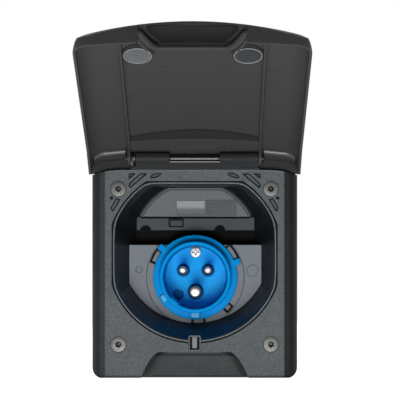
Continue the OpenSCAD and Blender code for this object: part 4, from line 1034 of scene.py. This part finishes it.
class INLET_OT_panel_relief(bpy.types.Operator):
    """Make the panel's raised dots, edge beads and border groove, and the plate under the panel"""

    bl_idname = "inlet.panel_relief"
    bl_label = "Panel relief"

    def execute(self, context):
        front, centre_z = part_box("label_panel")[0].y, 14.8 * MM
        self.relief(front, centre_z)
        self.groove(front, centre_z)
        self.plate()
        return {"FINISHED"}

    def relief(self, front, centre_z):
        """Field of dots, where one cosine wave across times one upwards lifts a sheet, and a bead along each arc."""
        pitch = sizes().dot_pitch
        left, right, foot, top = 6.6 * MM, 25.6 * MM, 32.6 * MM, 42.4 * MM
        proud, dot_high, sunk = 0.04 * MM, 0.45 * MM, 0.1 * MM
        x = np.linspace(left, right, 161)[None, :]
        z = np.linspace(foot, top, 81)[:, None]
        wave = (0.5 + 0.5 * np.cos(TAU * x / pitch)) * (0.5 + 0.5 * np.cos(TAU * z / pitch))
        dots = np.stack(np.broadcast_arrays(x, front - proud - dot_high * wave, z), axis=-1)
        under = np.stack(np.broadcast_arrays(x, front + sunk, z), axis=-1)
        grids = [(capped(np.concatenate((dots, under[:, ::-1]), axis=1)), False)]
        radius, bead, first, last = 38.3 * MM, 0.4 * MM, 27.5, 62.5
        way = np.radians(np.linspace(first, last, 60))
        for side in (-1, 1):
            arc = np.stack((side * radius * np.cos(way), centre_z + radius * np.sin(way)), axis=-1)
            grids.append((capped(edge_tube(arc, front, bead, columns=12, closed=False)), False))
        panel = frame["nodes"]["label_panel"].active_material
        make_piece("panel_relief", grids, "pedestal_plastic", "socket", panel)

    def groove(self, front, centre_z):
        """Dark bead along the panel's border: an arc that is cut off flat at the top."""
        radius, top, sunk, bead, first = 37.7 * MM, 48.8 * MM, 0.05 * MM, 0.3 * MM, 28
        way = np.radians(np.linspace(first, 180 - first, 200))
        border = np.stack((radius * np.cos(way), np.minimum(centre_z + radius * np.sin(way), top)), axis=-1)
        line = edge_tube(border, front + sunk, bead, closed=False)
        # Grey polyamide in the panel's border groove is shaded
        shaded = moulding("polyamide_groove", colours().panel * 0.5, roughness=0.5, grain=1.2, depth=0.01,
                          mottle=0.05, specular=0.1)
        make_piece("panel_groove", [(capped(line), False)], "pedestal_plastic", "socket", shaded)

    def plate(self):
        """Flat plate with sharp edges under the panel."""
        size, centre = np.array((74.4, 0.6, 8.4)) * MM, (0, BACK_Y - 0.2 * MM, 27.5 * MM)
        # Satin polyamide on the flat plate under the panel is a step lighter than the curved walls
        grey = moulding("polyamide_plate", linear("#42484c"), roughness=0.45, grain=1.1, depth=0.01, mottle=0.05,
                        specular=0.2)
        make_piece("wall_plate", [(rounded_block(size, centre, power=SHARP), False)], "housing_plastic", "socket", grey)


class INLET_OT_gland(bpy.types.Operator):
    """Make the gland nut with soft corners and a rounded nose"""

    bl_idname = "inlet.gland"
    bl_label = "Gland nut"

    def execute(self, context):
        self.nut()
        return {"FINISHED"}

    def nut(self):
        """Rings about Z, from round ones at the nose to hexagons: a smooth least of six flats rounds their corners."""
        columns, corner_power, least = 96, 24.0, 0.02
        low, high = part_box("gland_nut")
        bore, thread, thread_deep, soft = 4.8 * MM, 7.65 * MM, 9 * MM, 0.5 * MM
        flat = (high.x - low.x) / 2 * math.cos(math.pi / 6)
        angle = np.linspace(0, TAU, columns, endpoint=False)[None, :]
        facing = np.radians(np.arange(30, 390, 60))[:, None]
        flats = flat / np.maximum(np.cos(angle - facing), least)
        hexagon = np.sum(flats ** -corner_power, axis=0) ** (-1 / corner_power)
        ring = np.ones(columns)
        nose = hexagon.min() - 1.2 * MM
        # Height and radius of each ring: rounded nose, chamfered hexagon, thread and bore
        rows = [
            (low.z, ring * bore), (low.z, ring * (nose - 1.6 * MM)), (low.z + 0.5 * MM, ring * (nose - 0.7 * MM)),
            (low.z + 1.4 * MM, ring * (nose - 0.2 * MM)), (low.z + 3.6 * MM, ring * nose),
            (low.z + 4.2 * MM, hexagon - soft), (low.z + 4.7 * MM, hexagon), (high.z - soft, hexagon),
            (high.z, hexagon - soft), (high.z, ring * thread), (high.z - thread_deep, ring * thread),
            (high.z - thread_deep, ring * bore),
        ]
        centre = middle("gland_nut") * (1, 1, 0)
        grid = turned([z for z, _ in rows], np.stack([r for _, r in rows]), centre, axis="Z", columns=columns)
        make_piece("gland_nut_moulded", [(grid, True)], "housing_plastic", "socket", replaced=("gland_nut",))


class INLET_OT_stage(bpy.types.Operator):
    """Set up the floor, the light and the camera"""

    bl_idname = "inlet.stage"
    bl_label = "Stage"

    def execute(self, context):
        stage = context.scene.inlet_stage
        context.scene.view_settings.view_transform = "Standard"
        self.make_floor()
        self.make_world(stage.sky)
        table_y, table_z = -0.36, CAD_BOX[0].z + 2 * MM
        self.make_lamp("key", place=(-0.04, -1.1, -0.29), target=(0, 0, 0), extent=(0.3, 0.3), power=stage.key_power)
        self.make_lamp("table", place=(0, table_y, table_z), target=(0, table_y, 1), extent=(0.9, 0.64),
                       power=stage.table_power)
        self.make_lamp("back", place=(0, 1.3, 0.3), target=(0, 0.05, 0.02), extent=(0.6, 0.6),
                       power=stage.back_power, spread=40)
        self.make_camera(stage)
        return {"FINISHED"}

    def make_camera(self, stage):
        """Level camera that looks along Y, shifted so that its axis falls on the given pixel."""
        picture, sensor, farthest = 400, 36, 50
        camera = bpy.data.cameras.new("camera")
        camera.sensor_width = sensor
        camera.lens = stage.focal_px / picture * sensor
        camera.shift_x = (picture / 2 - stage.axis_px[0]) / picture
        camera.shift_y = (stage.axis_px[1] - picture / 2) / picture
        camera.clip_end = farthest
        holder = bpy.data.objects.new("camera", camera)
        holder.location = stage.camera_place
        holder.rotation_euler = (math.pi / 2, 0, 0)
        bpy.context.scene.collection.objects.link(holder)
        bpy.context.scene.camera = holder

    def make_floor(self):
        """White floor of a light table: it glows, keeps the shadow, and lets the light below it through."""
        reach, level = 4.0, CAD_BOX[0].z - 0.2 * MM
        hidden_glow, seen_glow, white = 0.1, 0.95, (0.8, 0.8, 0.8, 1)
        mesh = bpy.data.meshes.new("floor")
        mesh.from_pydata([(-reach, -reach, level), (reach, -reach, level), (reach, reach, level),
                          (-reach, reach, level)], [], [(0, 1, 2, 3)])
        floor = bpy.data.objects.new("floor", mesh)
        material = bpy.data.materials.new("white_paper")
        tree = fresh_tree(material)
        glow = add(tree, "ShaderNodeMapRange", {
            "Value": self.background_rays(tree), "To Min": hidden_glow, "To Max": seen_glow})
        paper = add(tree, "ShaderNodeBsdfDiffuse", {"Color": white})
        light = add(tree, "ShaderNodeEmission", {"Strength": glow.outputs["Result"]})
        both = add(tree, "ShaderNodeAddShader", {0: paper.outputs["BSDF"], 1: light.outputs["Emission"]})
        add(tree, "ShaderNodeOutputMaterial", {"Surface": both.outputs["Shader"]})
        mesh.materials.append(material)
        bpy.context.scene.collection.objects.link(floor)
        floor.visible_shadow = False

    def background_rays(self, tree):
        """One for the camera, glossy and transmitted rays, which show the background, and zero for the rest."""
        path = add(tree, "ShaderNodeLightPath").outputs
        first = add(tree, "ShaderNodeMath", {0: path["Is Camera Ray"], 1: path["Is Glossy Ray"]}, operation="MAXIMUM")
        both = add(tree, "ShaderNodeMath", {0: first.outputs["Value"], 1: path["Is Transmission Ray"]},
                   operation="MAXIMUM")
        return both.outputs["Value"]

    def make_world(self, strength):
        """White behind the object for camera, glossy and transmitted rays, and soft even light for the rest.

        The room that glossy and transmitted rays show is darker on the camera's side.
        """
        dark_to, white_from, dark = -0.6, 0.4, 0.2
        world = bpy.data.worlds.new("white_room")
        tree = fresh_tree(world)
        camera = add(tree, "ShaderNodeLightPath").outputs["Is Camera Ray"]
        way = add(tree, "ShaderNodeSeparateXYZ", {"Vector": add(tree, "ShaderNodeTexCoord").outputs["Generated"]})
        room = add(tree, "ShaderNodeMapRange", {
            "Value": way.outputs["Y"], "From Min": dark_to, "From Max": white_from, "To Min": dark, "To Max": 1.0})
        backdrop = add(tree, "ShaderNodeMath", {0: camera, 1: room.outputs["Result"]}, operation="MAXIMUM")
        power = add(tree, "ShaderNodeMix", {
            "Factor": self.background_rays(tree), "A": strength, "B": backdrop.outputs["Value"]})
        light = add(tree, "ShaderNodeBackground", {"Color": (1, 1, 1, 1), "Strength": power.outputs["Result"]})
        add(tree, "ShaderNodeOutputWorld", {"Surface": light.outputs["Background"]})
        bpy.context.scene.world = world

    def make_lamp(self, name, place, target, extent, power, spread=180):
        """Soft rectangular light that looks at its target and spreads by an angle in degrees."""
        lamp = bpy.data.lights.new(name, "AREA")
        lamp.shape = "RECTANGLE"
        lamp.size, lamp.size_y = extent
        lamp.energy = power
        lamp.spread = math.radians(spread)
        holder = bpy.data.objects.new(name, lamp)
        holder.location = place
        aim = Vector(target) - holder.location
        holder.rotation_euler = aim.to_track_quat("-Z", "Y").to_euler()
        holder.visible_camera = False
        bpy.context.scene.collection.objects.link(holder)


class INLET_PT_panel(bpy.types.Panel):
    """Sidebar panel that lists the pieces of the inlet"""

    bl_idname = "INLET_PT_panel"
    bl_label = "Power inlet"
    bl_space_type = "VIEW_3D"
    bl_region_type = "UI"
    bl_category = "Power inlet"

    def draw(self, context):
        for operator in OPERATORS:
            self.layout.operator(operator.bl_idname)


GROUPS = {"inlet_sizes": InletSizes, "inlet_colours": InletColours, "inlet_stage": InletStage}
OPERATORS = (INLET_OT_finishes, INLET_OT_lip, INLET_OT_grooves, INLET_OT_shroud, INLET_OT_pins, INLET_OT_screws,
             INLET_OT_lid, INLET_OT_panel_relief, INLET_OT_gland, INLET_OT_stage)
CLASSES = (*GROUPS.values(), *OPERATORS, INLET_PT_panel)


def register():
    for item in CLASSES:
        bpy.utils.register_class(item)
    for name, group in GROUPS.items():
        setattr(bpy.types.Scene, name, bpy.props.PointerProperty(type=group))


def unregister():
    for name in GROUPS:
        delattr(bpy.types.Scene, name)
    for item in reversed(CLASSES):
        bpy.utils.unregister_class(item)


def main():
    """Registers the add-on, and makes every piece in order."""
    register()
    bpy.ops.inlet.finishes()
    bpy.ops.inlet.lip()
    bpy.ops.inlet.grooves()
    bpy.ops.inlet.shroud()
    bpy.ops.inlet.pins()
    bpy.ops.inlet.screws()
    bpy.ops.inlet.lid()
    bpy.ops.inlet.panel_relief()
    bpy.ops.inlet.gland()
    bpy.ops.inlet.stage()


if __name__ == "__main__":
    main()
